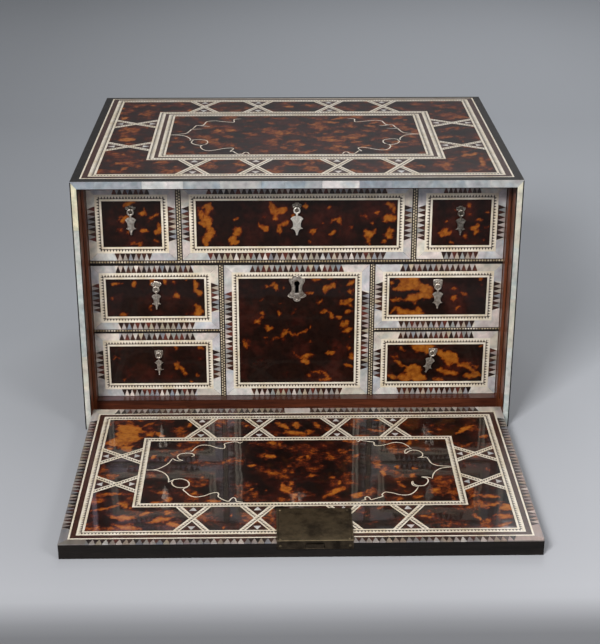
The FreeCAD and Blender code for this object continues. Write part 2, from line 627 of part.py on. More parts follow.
# Right half of the rosette's outline, in shares of its half width and of its height
ROSETTE_SHARES = (
    ((0.0, 0.0), (0.36, 0.05), (0.50, 0.24)),
    ((0.50, 0.24), (0.66, 0.44), (0.98, 0.60)),
    ((0.98, 0.60), (1.0, 0.82), (0.60, 0.87)),
    ((0.60, 0.87), (0.38, 0.98), (0.0, 1.0)),
)
# Right half of the escutcheon's outline, in shares of its half width and of its height
PLATE_SHARES = (
    ((0.0, 0.0), (0.28, 0.035), (0.42, 0.135)),
    ((0.42, 0.135), (0.76, 0.155), (1.0, 0.24)),
    ((1.0, 0.24), (0.66, 0.35), (0.54, 0.50)),
    ((0.54, 0.50), (0.60, 0.62), (0.74, 0.71)),
    ((0.74, 0.71), (0.83, 0.79), (0.76, 0.88)),
    ((0.76, 0.88), (0.58, 0.885), (0.44, 0.93)),
    ((0.44, 0.93), (0.26, 0.985), (0.0, 1.0)),
)


ARC_SIDES = 3
ROUND_SIDES = 12


def curve(points):
    """Edges through points: a line through two, the facets of an arc through three."""
    if len(points) == 3:
        points = Part.Arc(*points).toShape().discretize(ARC_SIDES + 1)
    return Part.makePolygon(points).Edges


def disc(radius, up):
    """A faceted round face about the upright axis, its middle at a height."""
    turns = [2 * math.pi * (i + 0.5) / ROUND_SIDES for i in range(ROUND_SIDES)]
    return polygon([(radius * math.cos(turn), up + radius * math.sin(turn)) for turn in turns])


def mirrored_face(runs, half, height, rise):
    """A face symmetric about the upright axis from the runs of its right half."""
    edges = []
    for run in runs:
        right = [V(x * half, rise * z * height, 0) for x, z in run]
        edges += curve(right)
        edges += curve([V(-p.x, p.y, 0) for p in reversed(right)])
    for x, z in (runs[0][0], runs[-1][-1]):
        if x:
            edges.append(Part.makeLine(V(-x * half, rise * z * height, 0),
                                       V(x * half, rise * z * height, 0)))
    return Part.Face(Part.Wire(Part.__sortEdges__(edges)))


def slab(faces, thickness, holes=()):
    """A flat casting of faces made one, with holes through it."""
    solids = [face.extrude(V(0, 0, thickness)) for face in faces]
    whole = solids[0].fuse(solids[1:]).removeSplitter() if solids[1:] else solids[0]
    return whole.cut([hole.extrude(V(0, 0, thickness)) for hole in holes]) if holes else whole


def stand(name, shape, turn, x, y, z):
    """A casting stood on the part."""
    item = doc.addObject("Part::Feature", name)
    item.Shape = shape
    item.Placement = FreeCAD.Placement(V(x, y, z), turn)
    return item


def drop(name, x, y, z):
    """A hanging leaf with its eye, about the staple's middle at x, y, z."""
    eye_z = (S.eye_radius - S.eye_hole) / 2 - S.eye_radius
    leaf = mirrored_face(LEAF_SHARES, S.leaf_half, S.leaf_height, -1)
    leaf.translate(V(0, eye_z - (S.eye_radius + S.eye_hole) / 2, 0))
    shape = slab([leaf, disc(S.eye_radius, eye_z)], S.drop_thick, [disc(S.eye_hole, eye_z)])
    return stand(name, shape, FACING_FRONT, x, y + S.drop_thick / 2, z)


def rosette(name, x, y, z):
    """A lobed plate behind the staple, whose middle is at x and z."""
    face = mirrored_face(ROSETTE_SHARES, S.rosette_half, S.rosette_height, 1)
    return stand(name, slab([face], S.rosette_thick), FACING_FRONT, x, y, z - S.rosette_drop)


def washer(name, x, y, z):
    """The staple's eye, a flat ring standing square to the drawer's face."""
    ring = slab([disc(S.staple_hole + S.staple_wire, 0)], S.staple_wire)
    ring = ring.cut(Part.makeCylinder(S.staple_hole, S.staple_wire))
    return stand(name, ring, FACING_RIGHT, x - S.staple_wire / 2, y, z)


drawer_report = []
for name, (left, right, (low, high)) in DRAWERS.items():
    tag = f"drawer_{name}"
    wide = f"({right})-({left})"
    tall = f"({high})-({low})"
    mid_x = f"(({left})+({right}))/2"
    front = box(f"{tag}_front", left, BOARD_Y, low, wide, "front_board", tall)
    border = box(f"{tag}_pearl", left, FACE_Y, low, wide, "veneer", tall)
    frame = box(f"{tag}_bone", f"{left}+pearl_border", FACE_Y, f"{low}+pearl_border",
                f"{wide}-2*pearl_border", "veneer", f"{tall}-2*pearl_border")
    void = box(f"{tag}_void", f"{left}+pearl_border", f"{FACE_Y}-over", f"{low}+pearl_border",
               f"{wide}-2*pearl_border", "veneer+2*over", f"{tall}-2*pearl_border")
    INSET = "pearl_border+bone_frame"
    sight = box(f"{tag}_sight", f"{left}+{INSET}", f"{FACE_Y}-over", f"{low}+{INSET}",
                f"{wide}-2*({INSET})", "veneer+2*over", f"{tall}-2*({INSET})")
    panel = box(f"{tag}_shell", f"{left}+{INSET}", FACE_Y, f"{low}+{INSET}",
                f"{wide}-2*({INSET})", "veneer", f"{tall}-2*({INSET})")
    border = cut(f"{tag}_border_cut", border, [void])
    frame = cut(f"{tag}_frame_cut", frame, [sight])
    run = f"{DRAWER_RUN}-veneer-front_board"
    walls = [
        box(f"{tag}_side_left", left, INSIDE_Y, low, "drawer_side", run, f"{tall}-side_step"),
        box(f"{tag}_side_right", f"{right}-drawer_side", INSIDE_Y, low, "drawer_side", run,
            f"{tall}-side_step"),
        box(f"{tag}_floor", f"{left}+drawer_side", INSIDE_Y, low, f"{wide}-2*drawer_side", run,
            "drawer_floor"),
        box(f"{tag}_back", f"{left}+drawer_side", f"{FACE_Y}+{DRAWER_RUN}-drawer_back",
            f"{low}+drawer_floor", f"{wide}-2*drawer_side", "drawer_back",
            f"{tall}-back_step-drawer_floor"),
    ]
    if name == "centre":
        holes = [
            rod("key_hole_round", ALONG_Y, mid_x, f"{FACE_Y}-over", f"{CENTRE_TOP}-key_down",
                "key_radius", "veneer+front_board+over"),
            box("key_hole_slot", f"{mid_x}-key_slot/2", f"{FACE_Y}-over",
                f"{CENTRE_TOP}-key_down+key_radius-key_length", "key_slot",
                "veneer+front_board+over", "key_length-key_radius"),
        ]
    else:
        across, up = PULL_SHARES[name]
        pivot_x = f"{left}+({wide})*{across}"
        pivot_z = f"{low}+({tall})*{up}"
        holes = [box(f"{tag}_hole", f"{pivot_x}-shank_width/2", f"{FACE_Y}-over",
                     f"{pivot_z}-shank_width/2", "shank_width", "veneer+front_board+2*over",
                     "shank_width")]
    front = cut(f"{tag}_front_cut", front, holes)
    panel = cut(f"{tag}_panel_cut", panel, holes)
    node(f"{tag}_box", group(f"{tag}_box_group", [front] + walls))
    node(f"{tag}_border", group(f"{tag}_border_group", [border, frame]))
    node(f"{tag}_panel", panel)
    if name == "centre":
        continue
    spot = (number(pivot_x), number(f"{FACE_Y}-rosette_thick-staple_reach"), number(pivot_z))
    plate = rosette(f"{tag}_rosette", spot[0], number(FACE_Y), spot[2])
    staple = washer(f"{tag}_staple", *spot)
    shank = box(f"{tag}_shank", f"{pivot_x}-shank_width/2", f"{FACE_Y}-rosette_thick",
                f"{pivot_z}-shank_width/2", "shank_width",
                "rosette_thick+veneer+front_board+clinch_thick", "shank_width")
    clinch = box(f"{tag}_clinch", f"{pivot_x}-shank_width/2", INSIDE_Y,
                 f"{pivot_z}-clinch_length/2", "shank_width", "clinch_thick",
                 "clinch_length")
    node(f"{tag}_pull", fuse(f"{tag}_pull_fuse", [plate, staple, shank, clinch]))
    node(f"{tag}_drop", drop(f"{tag}_leaf", *spot))
    drawer_report.append((name,) + spot)
doc.recompute()

# Escutcheon, lock and bolt of the middle drawer
key_up = S.plate_down - S.key_down
key_foot = key_up + S.key_radius - S.key_length
plate = slab([mirrored_face(PLATE_SHARES, S.plate_half, S.plate_height, 1)], S.plate_thick,
             [rectangle(-S.key_slot / 2, key_foot, S.key_slot / 2, key_up),
              disc(S.key_radius, key_up)])
heads = []
for rise in (2 * S.pin_head, S.plate_height - 2 * S.pin_head):
    head = slab([disc(S.pin_head, rise)], S.pin_head / 2)
    head.translate(V(0, 0, S.plate_thick))
    heads.append(head)
escutcheon = stand("escutcheon_plate", plate.fuse(heads), FACING_FRONT, 0, number(FACE_Y),
                   number(f"{CENTRE_TOP}-plate_down"))
node("drawer_centre_escutcheon", escutcheon)
case_low = f"{CENTRE_TOP}-case_top_gap-case_height"
case = box("centre_case", "-case_width/2", INSIDE_Y, case_low, "case_width", "case_depth",
           "case_height")
BOLT_Y = f"{INSIDE_Y}+(case_depth-bolt_thick)/2"
bolt_low = f"{CENTRE_TOP}-case_top_gap-bolt_length"
case_channel = box("case_channel", "-bolt_width/2-bolt_gap", f"{BOLT_Y}-bolt_gap",
                   f"{bolt_low}-bolt_gap", "bolt_width+2*bolt_gap", "bolt_thick+2*bolt_gap",
                   "bolt_length+bolt_gap+over")
node("drawer_centre_lock", cut("case_cut", case, [case_channel]))
node("drawer_centre_bolt", box("centre_bolt", "-bolt_width/2", BOLT_Y, bolt_low, "bolt_width",
                               "bolt_thick", "bolt_length"))

doc.recompute()
for item in doc.Objects:
    assert not {"Invalid", "Error"} & set(item.State), item.Name
for item in nodes:
    shape = item.Shape
    assert not shape.isNull() and shape.isValid() and shape.Solids, item.Label
    assert all(solid.Volume > 0 for solid in shape.Solids), item.Label

os.makedirs("parts", exist_ok=True)
for item in nodes:
    item.Shape.exportStep(f"parts/{item.Label}.step")
for name, x, y, z in drawer_report:
    print(f"pull {name}: {x:.2f} {y:.2f} {z:.2f}")
print(len(nodes), "sub-parts")
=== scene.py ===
"""A table cabinet with a drop front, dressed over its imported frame. Lengths are in metres."""

import logging
import math
import random
from dataclasses import dataclass, replace
from enum import Enum
from typing import Callable, Optional, Sequence, Union

import bmesh
import bpy
import numpy as np
from mathutils import Matrix, Vector, noise


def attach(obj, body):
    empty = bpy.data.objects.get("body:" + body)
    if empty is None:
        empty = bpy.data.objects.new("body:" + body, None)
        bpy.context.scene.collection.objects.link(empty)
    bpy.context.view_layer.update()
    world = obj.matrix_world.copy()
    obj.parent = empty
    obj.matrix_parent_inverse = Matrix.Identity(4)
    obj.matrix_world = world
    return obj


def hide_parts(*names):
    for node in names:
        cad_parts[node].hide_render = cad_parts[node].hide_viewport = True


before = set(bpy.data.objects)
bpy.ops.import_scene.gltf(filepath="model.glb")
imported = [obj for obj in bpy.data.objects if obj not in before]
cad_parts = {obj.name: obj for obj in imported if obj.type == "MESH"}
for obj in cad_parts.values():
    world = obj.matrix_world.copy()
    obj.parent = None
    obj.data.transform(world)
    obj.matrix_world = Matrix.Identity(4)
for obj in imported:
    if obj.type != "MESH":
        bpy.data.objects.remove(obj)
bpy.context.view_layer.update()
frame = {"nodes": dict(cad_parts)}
LOG = logging.getLogger("cabinet")

MM = 0.001
Point = tuple[float, float]
Place = tuple[float, float, float]
Rect = tuple[float, float, float, float]
Tint = tuple[float, float, float, float]
Feed = Union[bpy.types.Node, bpy.types.NodeSocket]


def linear(colour: str) -> Tint:
    """Turns an sRGB hex colour to linear light.

    Args:
        colour: six hex digits after a hash.

    Returns:
        Red, green, blue and one, each from 0 to 1.
    """
    shares = [int(colour[i:i + 2], 16) / 255 for i in (1, 3, 5)]
    values = [s / 12.92 if s <= 0.04045 else ((s + 0.055) / 1.055) ** 2.4 for s in shares]
    return (values[0], values[1], values[2], 1.0)


def shaded(colour: Tint, share: float) -> Tint:
    """Returns a colour made darker or lighter by a share."""
    return (colour[0] * share, colour[1] * share, colour[2] * share, 1.0)


def add(tree: bpy.types.NodeTree, kind: str, links: Optional[dict] = None,
        stops: Sequence[tuple[float, str]] = (), **settings) -> bpy.types.Node:
    """Adds a shader node with its settings and links.

    Args:
        tree: the node tree.
        kind: the node's type after ShaderNode.
        links: an input's name or index, against a value, the output that feeds it, or the node
            whose first output in use feeds it.
        stops: a colour ramp's places from 0 to 1 with their hex colours.
        settings: properties of the node.

    Returns:
        The node.
    """
    item = tree.nodes.new("ShaderNode" + kind)
    for key, value in settings.items():
        setattr(item, key, value)
    for key, value in (links or {}).items():
        if isinstance(value, bpy.types.Node):
            value = next(out for out in value.outputs if out.enabled)
        if isinstance(value, bpy.types.NodeSocket):
            tree.links.new(value, item.inputs[key])
        else:
            item.inputs[key].default_value = value
    if stops:
        elements = item.color_ramp.elements
        while len(elements) < len(stops):
            elements.new(0.5)
        for element, (at, colour) in zip(elements, stops):
            element.position = at
            element.color = linear(colour)
    return item


class Axis(Enum):
    """The way that a board's grain runs."""

    X = "x"
    Y = "y"
    Z = "z"


# ---- finishes

MULTIPLY = {"data_type": "RGBA", "blend_type": "MULTIPLY"}


@dataclass(frozen=True)
class Finish:
    """A surface finish, made into one material on first use."""

    name: str

    def shade(self, tree: bpy.types.NodeTree) -> bpy.types.Node:
        """Builds the shader and returns its node."""
        raise NotImplementedError

    def material(self) -> bpy.types.Material:
        """Returns the finish's material, making it if it isn't there."""
        made = bpy.data.materials.get(self.name)
        if made is None:
            made = bpy.data.materials.new(self.name)
            made.use_nodes = True
            made.node_tree.nodes.clear()
            add(made.node_tree, "OutputMaterial", {"Surface": self.shade(made.node_tree)})
        return made


@dataclass(frozen=True)
class Tortoiseshell(Finish):
    """Hawksbill plate over a red ground, scraped and polished to a mirror.

    The eye sees near-black plate with amber clouds that have soft reddish edges, under a clear
    wet-looking gloss.
    """

    name: str = "polished tortoiseshell"
    gloss: float = 0.05
    coat: float = 0.34
    dark: tuple[str, str] = ("#0a0503", "#120604")
    amber: tuple[str, ...] = ("#280c06", "#52200c", "#7d3d10", "#9a5819", "#a86a28")
    steps: tuple[float, ...] = (0.0, 0.30, 0.40, 0.49, 0.56, 0.67, 1.0)

    def shade(self, tree: bpy.types.NodeTree) -> bpy.types.Node:
        """Builds the shader and returns its node."""
        place = add(tree, "TexCoord").outputs["Object"]
        total = add(tree, "Attribute", attribute_name="shell_tone").outputs["Fac"]
        # clouds' edges are ragged at about 4 mm, and fine mottling is about 1.5 mm
        wander = add(tree, "TexNoise", {"Vector": place, "Scale": 250.0, "Detail": 5.0,
                                        "Roughness": 0.62})
        mottle = add(tree, "TexNoise", {"Vector": place, "Scale": 700.0, "Detail": 3.0})
        for source, reach in ((wander, 0.60), (mottle, 0.14)):
            part = add(tree, "Math", {0: source, 1: reach, 2: -reach / 2},
                       operation="MULTIPLY_ADD")
            total = add(tree, "Math", {0: total, 1: part}, operation="ADD")
        cloud = add(tree, "ValToRGB", {0: total}, tuple(zip(self.steps, self.dark + self.amber)))
        # the plate's dark parts glow dull red where it is thin
        depth = add(tree, "TexNoise", {"Vector": place, "Scale": 42.0, "Detail": 3.0})
        glow = add(tree, "ValToRGB", {0: depth}, ((0.48, "#000000"), (0.74, "#2c0b06")))
        colour = add(tree, "Mix", {0: 1.0, 6: cloud, 7: glow}, data_type="RGBA",
                     blend_type="ADD")
        # amber is cloudy inside, over about 3 mm
        veil = add(tree, "TexNoise", {"Vector": place, "Scale": 210.0, "Detail": 4.0})
        cloudy = add(tree, "ValToRGB", {0: veil}, ((0.36, "#b08468"), (0.56, "#ffffff")))
        colour = add(tree, "Mix", {0: 0.6, 6: colour, 7: cloudy}, **MULTIPLY)
        swell = add(tree, "TexNoise", {"Vector": place, "Scale": 38.0, "Detail": 1.0})
        bump = add(tree, "Bump", {"Height": swell, "Strength": 0.12, "Distance": 0.0016})
        return add(tree, "BsdfPrincipled", {
            "Base Color": colour, "Roughness": 0.3, "IOR": 1.56, "Specular IOR Level": 0.1,
            "Coat Weight": self.coat, "Coat Roughness": self.gloss, "Coat IOR": 1.5,
            "Normal": bump, "Coat Normal": bump})


@dataclass(frozen=True)
class MotherOfPearl(Finish):
    """Nacre, sawn thin, laid and rubbed down.

    Each piece has its own cast of grey, blue, rose or cream, with silky streaks, its growth lines,
    painted lighter as a painted sheen, and a faint colour play from its layers.
    """

    name: str = "mother of pearl"

    def shade(self, tree: bpy.types.NodeTree) -> bpy.types.Node:
        """Builds the shader and returns its node."""
        place = add(tree, "TexCoord").outputs["Object"]
        tint = add(tree, "VertexColor", layer_name="tint")
        # silky growth lines, about 4 mm apart and drawn out along the shell, painted lighter as a
        # painted sheen
        lay = add(tree, "Mapping", {"Vector": place, "Rotation": (0.3, 0.5, 0.6),
                                    "Scale": (210.0, 34.0, 190.0)})
        silk = add(tree, "TexNoise", {"Vector": lay, "Scale": 0.6, "Detail": 3.0,
                                      "Distortion": 0.3})
        light = add(tree, "ValToRGB", {0: silk}, (
            (0.30, "#c4c6c8"), (0.48, "#dcdee0"), (0.62, "#eeeeef"), (0.74, "#ffffff")))
        cast = add(tree, "TexNoise", {"Vector": place, "Scale": 75.0, "Detail": 2.0})
        play = add(tree, "ValToRGB", {0: cast}, (
            (0.3, "#dbe8f2"), (0.46, "#f4f4ee"), (0.58, "#faeceb"), (0.72, "#e8f2ea")))
        colour = add(tree, "Mix", {0: 1.0, 6: tint, 7: light}, **MULTIPLY)
        colour = add(tree, "Mix", {0: 0.6, 6: colour, 7: play}, **MULTIPLY)
        bump = add(tree, "Bump", {"Height": silk, "Strength": 0.12, "Distance": 0.0004})
        return add(tree, "BsdfPrincipled", {
            "Base Color": colour, "Roughness": 0.3, "IOR": 1.62, "Specular IOR Level": 0.25,
            "Coat Weight": 0.1, "Coat Roughness": 0.12, "Thin Film Thickness": 390.0,
            "Thin Film IOR": 1.5, "Normal": bump})


@dataclass(frozen=True)
class Bone(Finish):
    """Ox bone, sawn, scraped and waxed, old and a little yellow.

    Warm off-white with short brownish pores along the grain.
    """

    name: str = "waxed bone"
    colour: str = "#d8cebc"

    def ground(self, tree: bpy.types.NodeTree) -> bpy.types.Node:
        """Builds the bone's colour and returns its node."""
        place = add(tree, "TexCoord").outputs["Object"]
        # patches about 12 mm across, and pores about 0.5 mm
        patch = add(tree, "TexNoise", {"Vector": place, "Scale": 85.0, "Detail": 3.0})
        pores = add(tree, "TexNoise", {"Vector": place, "Scale": 1500.0, "Detail": 2.0})
        aged = add(tree, "ValToRGB", {0: patch}, (
            (0.3, "#cbbca1"), (0.55, self.colour), (0.75, "#e4dac9")))
        dots = add(tree, "ValToRGB", {0: pores}, ((0.32, "#b9a68a"), (0.45, "#ffffff")))
        return add(tree, "Mix", {0: 0.5, 6: aged, 7: dots}, **MULTIPLY)

    def folded(self, tree: bpy.types.NodeTree, value: Feed) -> Feed:
        """Returns how far a value is from the middle of its repeat, from 0 to a half."""
        for operation in ("FRACT", "SUBTRACT", "ABSOLUTE"):
            value = add(tree, "Math", {0: value, 1: 0.5}, operation=operation)
        return value

    def shade(self, tree: bpy.types.NodeTree) -> bpy.types.Node:
        """Builds the shader and returns its node."""
        return add(tree, "BsdfPrincipled", {
            "Base Color": self.ground(tree), "Roughness": 0.32, "IOR": 1.54,
            "Coat Weight": 0.3, "Coat Roughness": 0.1})


@dataclass(frozen=True)
class Stringing(Bone):
    """Bone stringing with a middle row of small dark triangles, sawn from made-up strip.

    Two pale lines with a fine dark zigzag between them.
    """

    name: str = "bone stringing"
    pitch: float = 3.2
    row_from: float = 0.25
    row_to: float = 0.70
    fullness: float = 1.08
    dark: str = "#33231a"

    def shade(self, tree: bpy.types.NodeTree) -> bpy.types.Node:
        """Builds the shader and returns its node."""
        run = add(tree, "SeparateXYZ", {0: add(tree, "UVMap", uv_map="run")}).outputs
        along = self.folded(tree, add(tree, "Math", {0: run["X"], 1: self.pitch},
                                      operation="DIVIDE"))
        across = add(tree, "MapRange", {"Value": run["Y"], "From Min": self.row_from,
                                        "From Max": self.row_to, "To Max": self.fullness / 2},
                     clamp=False)
        inside = add(tree, "Math", {0: along, 1: across}, operation="LESS_THAN")
        below = add(tree, "Math", {0: run["Y"], 1: self.row_to}, operation="LESS_THAN")
        dark = add(tree, "Math", {0: inside, 1: below}, operation="MULTIPLY")
        colour = add(tree, "Mix", {0: dark, 6: self.ground(tree), 7: linear(self.dark)},
                     data_type="RGBA")
        return add(tree, "BsdfPrincipled", {
            "Base Color": colour, "Roughness": 0.3, "IOR": 1.54, "Coat Weight": 0.4,
            "Coat Roughness": 0.08})


@dataclass(frozen=True)
class Lozenges(Bone):
    """Lozenge stringing on a partition's edge: bone and dark wood in a fine chequer."""

    name: str = "lozenge stringing"
    colour: str = "#ab9d82"
    pitch: float = 3.1
    columns: float = 2.0
    edge: float = 0.05
    size: float = 0.42
    dark: str = "#21150d"

    def shade(self, tree: bpy.types.NodeTree) -> bpy.types.Node:
        """Builds the shader and returns its node."""
        run = add(tree, "SeparateXYZ", {0: add(tree, "UVMap", uv_map="run")}).outputs
        across = add(tree, "MapRange", {"Value": run["Y"], "From Min": self.edge,
                                        "From Max": 1 - self.edge, "To Max": self.columns},
                     clamp=False)
        # each column of lozenges is half a step along from the last
        column = add(tree, "Math", {0: across}, operation="FLOOR")
        shift = add(tree, "Math", {0: column, 1: 0.5}, operation="MULTIPLY")
        along = add(tree, "Math", {0: run["X"], 1: 1 / self.pitch, 2: shift},
                    operation="MULTIPLY_ADD")
        away = add(tree, "Math", {0: self.folded(tree, along), 1: self.folded(tree, across)},
                   operation="ADD")
        pale = add(tree, "Math", {0: away, 1: self.size}, operation="LESS_THAN")
        # a dark edge runs along both sides, painted shade of the gaps beside the drawers
        middle = add(tree, "Math", {0: run["Y"], 1: 0.5}, operation="SUBTRACT")
        middle = add(tree, "Math", {0: middle}, operation="ABSOLUTE")
        inner = add(tree, "Math", {0: middle, 1: 0.5 - self.edge}, operation="LESS_THAN")
        pale = add(tree, "Math", {0: pale, 1: inner}, operation="MULTIPLY")
        colour = add(tree, "Mix", {0: pale, 6: linear(self.dark), 7: self.ground(tree)},
                     data_type="RGBA")
        return add(tree, "BsdfPrincipled", {"Base Color": colour, "Roughness": 0.38,
                                            "IOR": 1.5})


@dataclass(frozen=True)
class ShellChip(Finish):
    """Small cut pieces of dark plate between the pearl, black-brown to red-brown."""

    name: str = "dark shell chips"

    def shade(self, tree: bpy.types.NodeTree) -> bpy.types.Node:
        """Builds the shader and returns its node."""
        place = add(tree, "TexCoord").outputs["Object"]
        tint = add(tree, "VertexColor", layer_name="tint")
        # mottling about 3 mm across
        mottle = add(tree, "TexNoise", {"Vector": place, "Scale": 330.0, "Detail": 3.0})
        cloud = add(tree, "ValToRGB", {0: mottle}, ((0.3, "#8a8a8a"), (0.6, "#ffffff")))
        colour = add(tree, "Mix", {0: 0.8, 6: tint, 7: cloud}, **MULTIPLY)
        return add(tree, "BsdfPrincipled", {
            "Base Color": colour, "Roughness": 0.3, "IOR": 1.55, "Specular IOR Level": 0.3,
            "Coat Weight": 0.1, "Coat Roughness": 0.1})


@dataclass(frozen=True)
class Hardwood(Finish):
    """A close-grained hardwood, planed and polished: lines of darker grain along the board."""

    name: str = "rosewood along x"
    along: Axis = Axis.X
    light: str = "#5a2c1a"
    dark: str = "#24100a"
    line_mm: float = 1.6
    stretch: float = 22.0
    roughness: float = 0.35
    shine: float = 0.5
    coat: float = 0.4

    def shade(self, tree: bpy.types.NodeTree) -> bpy.types.Node:
        """Builds the shader and returns its node."""
        place = add(tree, "TexCoord").outputs["Object"]
        fine = 1 / (self.line_mm * MM)
        scale = [fine, fine, fine]
        scale["xyz".index(self.along.value)] = fine / self.stretch
        lay = add(tree, "Mapping", {"Vector": place, "Scale": tuple(scale)})
        grain = add(tree, "TexNoise", {"Vector": lay, "Scale": 0.5, "Detail": 6.0,
                                       "Roughness": 0.62, "Distortion": 0.3})
        figure = add(tree, "TexNoise", {"Vector": lay, "Scale": 0.07, "Detail": 3.0,
                                        "Distortion": 0.8})
        pores = add(tree, "TexNoise", {"Vector": lay, "Scale": 2.4, "Detail": 2.0})
        both = add(tree, "Math", {0: grain, 1: figure}, operation="ADD")
        both = add(tree, "Math", {0: both, 1: 0.5}, operation="MULTIPLY")
        wood = add(tree, "ValToRGB", {0: both}, ((0.36, self.dark), (0.62, self.light)))
        shade = add(tree, "ValToRGB", {0: pores}, ((0.34, "#6a6a6a"), (0.46, "#ffffff")))
        colour = add(tree, "Mix", {0: 0.6, 6: wood, 7: shade}, **MULTIPLY)
        bump = add(tree, "Bump", {"Height": pores, "Strength": 0.15, "Distance": 0.0002})
        return add(tree, "BsdfPrincipled", {
            "Base Color": colour, "Roughness": self.roughness, "IOR": 1.5,
            "Specular IOR Level": self.shine, "Coat Weight": self.coat,
            "Coat Roughness": 0.12, "Normal": bump})


@dataclass(frozen=True)
class Metal(Finish):
    """A worked metal: hammered or filed, with tarnish in its hollows and brighter edges."""

    name: str = "tarnished silver"
    bright: str = "#e6dccf"
    dull: str = "#a3988b"
    grain_mm: float = 1.2
    roughness: float = 0.38
    tooth: float = 0.25

    def shade(self, tree: bpy.types.NodeTree) -> bpy.types.Node:
        """Builds the shader and returns its node."""
        place = add(tree, "TexCoord").outputs["Object"]
        wear = add(tree, "TexNoise", {"Vector": place, "Scale": 0.5 / (self.grain_mm * MM),
                                      "Detail": 4.0, "Roughness": 0.6})
        raised = add(tree, "ValToRGB", {0: add(tree, "NewGeometry").outputs["Pointiness"]}, (
            (0.45, "#3a3a3a"), (0.5, "#c8c8c8"), (0.56, "#ffffff")))
        metal = add(tree, "ValToRGB", {0: wear}, ((0.34, self.dull), (0.62, self.bright)))
        colour = add(tree, "Mix", {0: 0.7, 6: metal, 7: raised}, **MULTIPLY)
        rough = add(tree, "MapRange", {"Value": wear, "To Min": self.roughness + 0.12,
                                       "To Max": self.roughness - 0.1})
        bump = add(tree, "Bump", {"Height": wear, "Strength": self.tooth, "Distance": 0.0003})
        return add(tree, "BsdfPrincipled", {"Base Color": colour, "Metallic": 1.0,
                                            "Roughness": rough, "Normal": bump})


SHELL = Tortoiseshell()
FALL_SHELL = Tortoiseshell(name="freshly polished tortoiseshell", coat=0.85)
# the top's plates have gone browner with light
TOP_SHELL = Tortoiseshell(name="faded tortoiseshell", coat=0.12, dark=("#17110f", "#1e1411"),
                          amber=("#2e130c", "#4e2311", "#733d18", "#8b5424", "#966231"))
# the drawers' plates are painted darker, as painted shade of the recess they sit in, and have lost
# some of their polish
SHADED_DRAWER_SHELL = Tortoiseshell(name="tortoiseshell with painted recess shade", coat=0.2, dark=("#140906", "#1b0c07"),
                             amber=("#220b06", "#411605", "#642d08", "#7c430e", "#9c5f1e"))
PEARL = MotherOfPearl()
BONE = Bone()
STRINGING = Stringing()
LOZENGES = Lozenges()
SHELF_LINES = Lozenges(name="shelf stringing", pitch=3.0, columns=1.0, edge=0.03,
                       colour="#84724f")
CHIPS = ShellChip()
# ebony: near-black wood, scraped smooth and waxed, so it shows a soft grey sheen
EBONY = Hardwood(name="waxed ebony", light="#1e1a18", dark="#110f0e", line_mm=0.8,
                 roughness=0.5, shine=0.12, coat=0.0)
# rosewood: brown-red with darker lines along the board
ROSEWOOD_X = Hardwood()
ROSEWOOD_Y = Hardwood(name="rosewood along y", along=Axis.Y)
ROSEWOOD_Z = Hardwood(name="rosewood along z", along=Axis.Z, light="#8a4a2a", dark="#43200f",
                      coat=0.15)
# cedar for the drawers: matt, light red-brown
CEDAR = Hardwood(name="cedar along y", along=Axis.Y, light="#a5714a", dark="#7a4a2c",
                 line_mm=2.2, roughness=0.6, coat=0.0)
BACKBOARD = Hardwood(name="plain backboard wood", along=Axis.Z, light="#7b5437", dark="#4f3220",
                     line_mm=2.4, roughness=0.62, coat=0.0)
# silver, cast thin, chased and tarnished: grey with darker hollows
SILVER = Metal()
# painted highlight: a lighter copy of the silver, used for the top middle drawer's leaf
LIT_SILVER = Metal(name="silver with painted highlight", bright="#fffaf0", dull="#e2d9cc", roughness=0.46)
# painted shade: a darker copy of the silver, for the top row's rosettes under the top's overhang
# and for the top right leaf
SHADED_SILVER = Metal(name="silver with painted shade", bright="#a59d92", dull="#565048", roughness=0.34)
# gilt bronze worn to olive brown: dull, with a brighter rubbed edge
BRONZE = Metal(name="worn bronze", bright="#786a52", dull="#42392d", grain_mm=6.0,
               roughness=0.42, tooth=0.3)
# painted shade: the lock's front-facing lip, and its bolt, are painted dark brown, the shade that
# falls on them
SHADED_BRONZE = Metal(name="bronze with painted shade", bright="#4a4034", dull="#2a241e", grain_mm=4.0,
                    roughness=0.46, tooth=0.3)
STEEL = Metal(name="filed steel", bright="#4a4643", dull="#2c2a28", grain_mm=0.8,
              roughness=0.4, tooth=0.2)


# ---- surfaces and flat pieces

@dataclass(frozen=True)
class Plane:
    """A flat surface in millimetres: where it starts, how it runs and which way it faces."""

    origin: Place
    along: Place
    up: Place
    out: Place

    def at(self, u: float, v: float, lift: float = 0.0) -> Vector:
        """Returns the point at u, v and a height above the surface, in metres."""
        return (Vector(self.origin) + Vector(self.along) * u + Vector(self.up) * v
                + Vector(self.out) * lift) * MM

    def turns_out(self) -> bool:
        """Returns whether along turned to up turns about the way that the surface faces."""
        return Vector(self.along).cross(Vector(self.up)).dot(Vector(self.out)) > 0


def upright(y: float, x: float = 0, z: float = 0) -> Plane:
    """Returns the upright surface at y that faces the front, with u as x and v as z."""
    return Plane((x, y, z), (1, 0, 0), (0, 0, 1), (0, -1, 0))


def level(z: float, faces_up: bool = True) -> Plane:
    """Returns the level surface at z, with u as x and v as y."""
    return Plane((0, 0, z), (1, 0, 0), (0, 1, 0), (0, 0, 1 if faces_up else -1))


def wall(x: float) -> Plane:
    """Returns the outside of a side wall at x, with u as y and v as z."""
    return Plane((x, 0, 0), (0, 1, 0), (0, 0, 1), (1 if x > 0 else -1, 0, 0))


def inset(rect: Rect, *by: float) -> Rect:
    """Returns the rectangle drawn in from its left, low, right and high sides, or from all."""
    left, low, right, high = by * 4 if len(by) == 1 else by
    return (rect[0] + left, rect[1] + low, rect[2] - right, rect[3] - high)


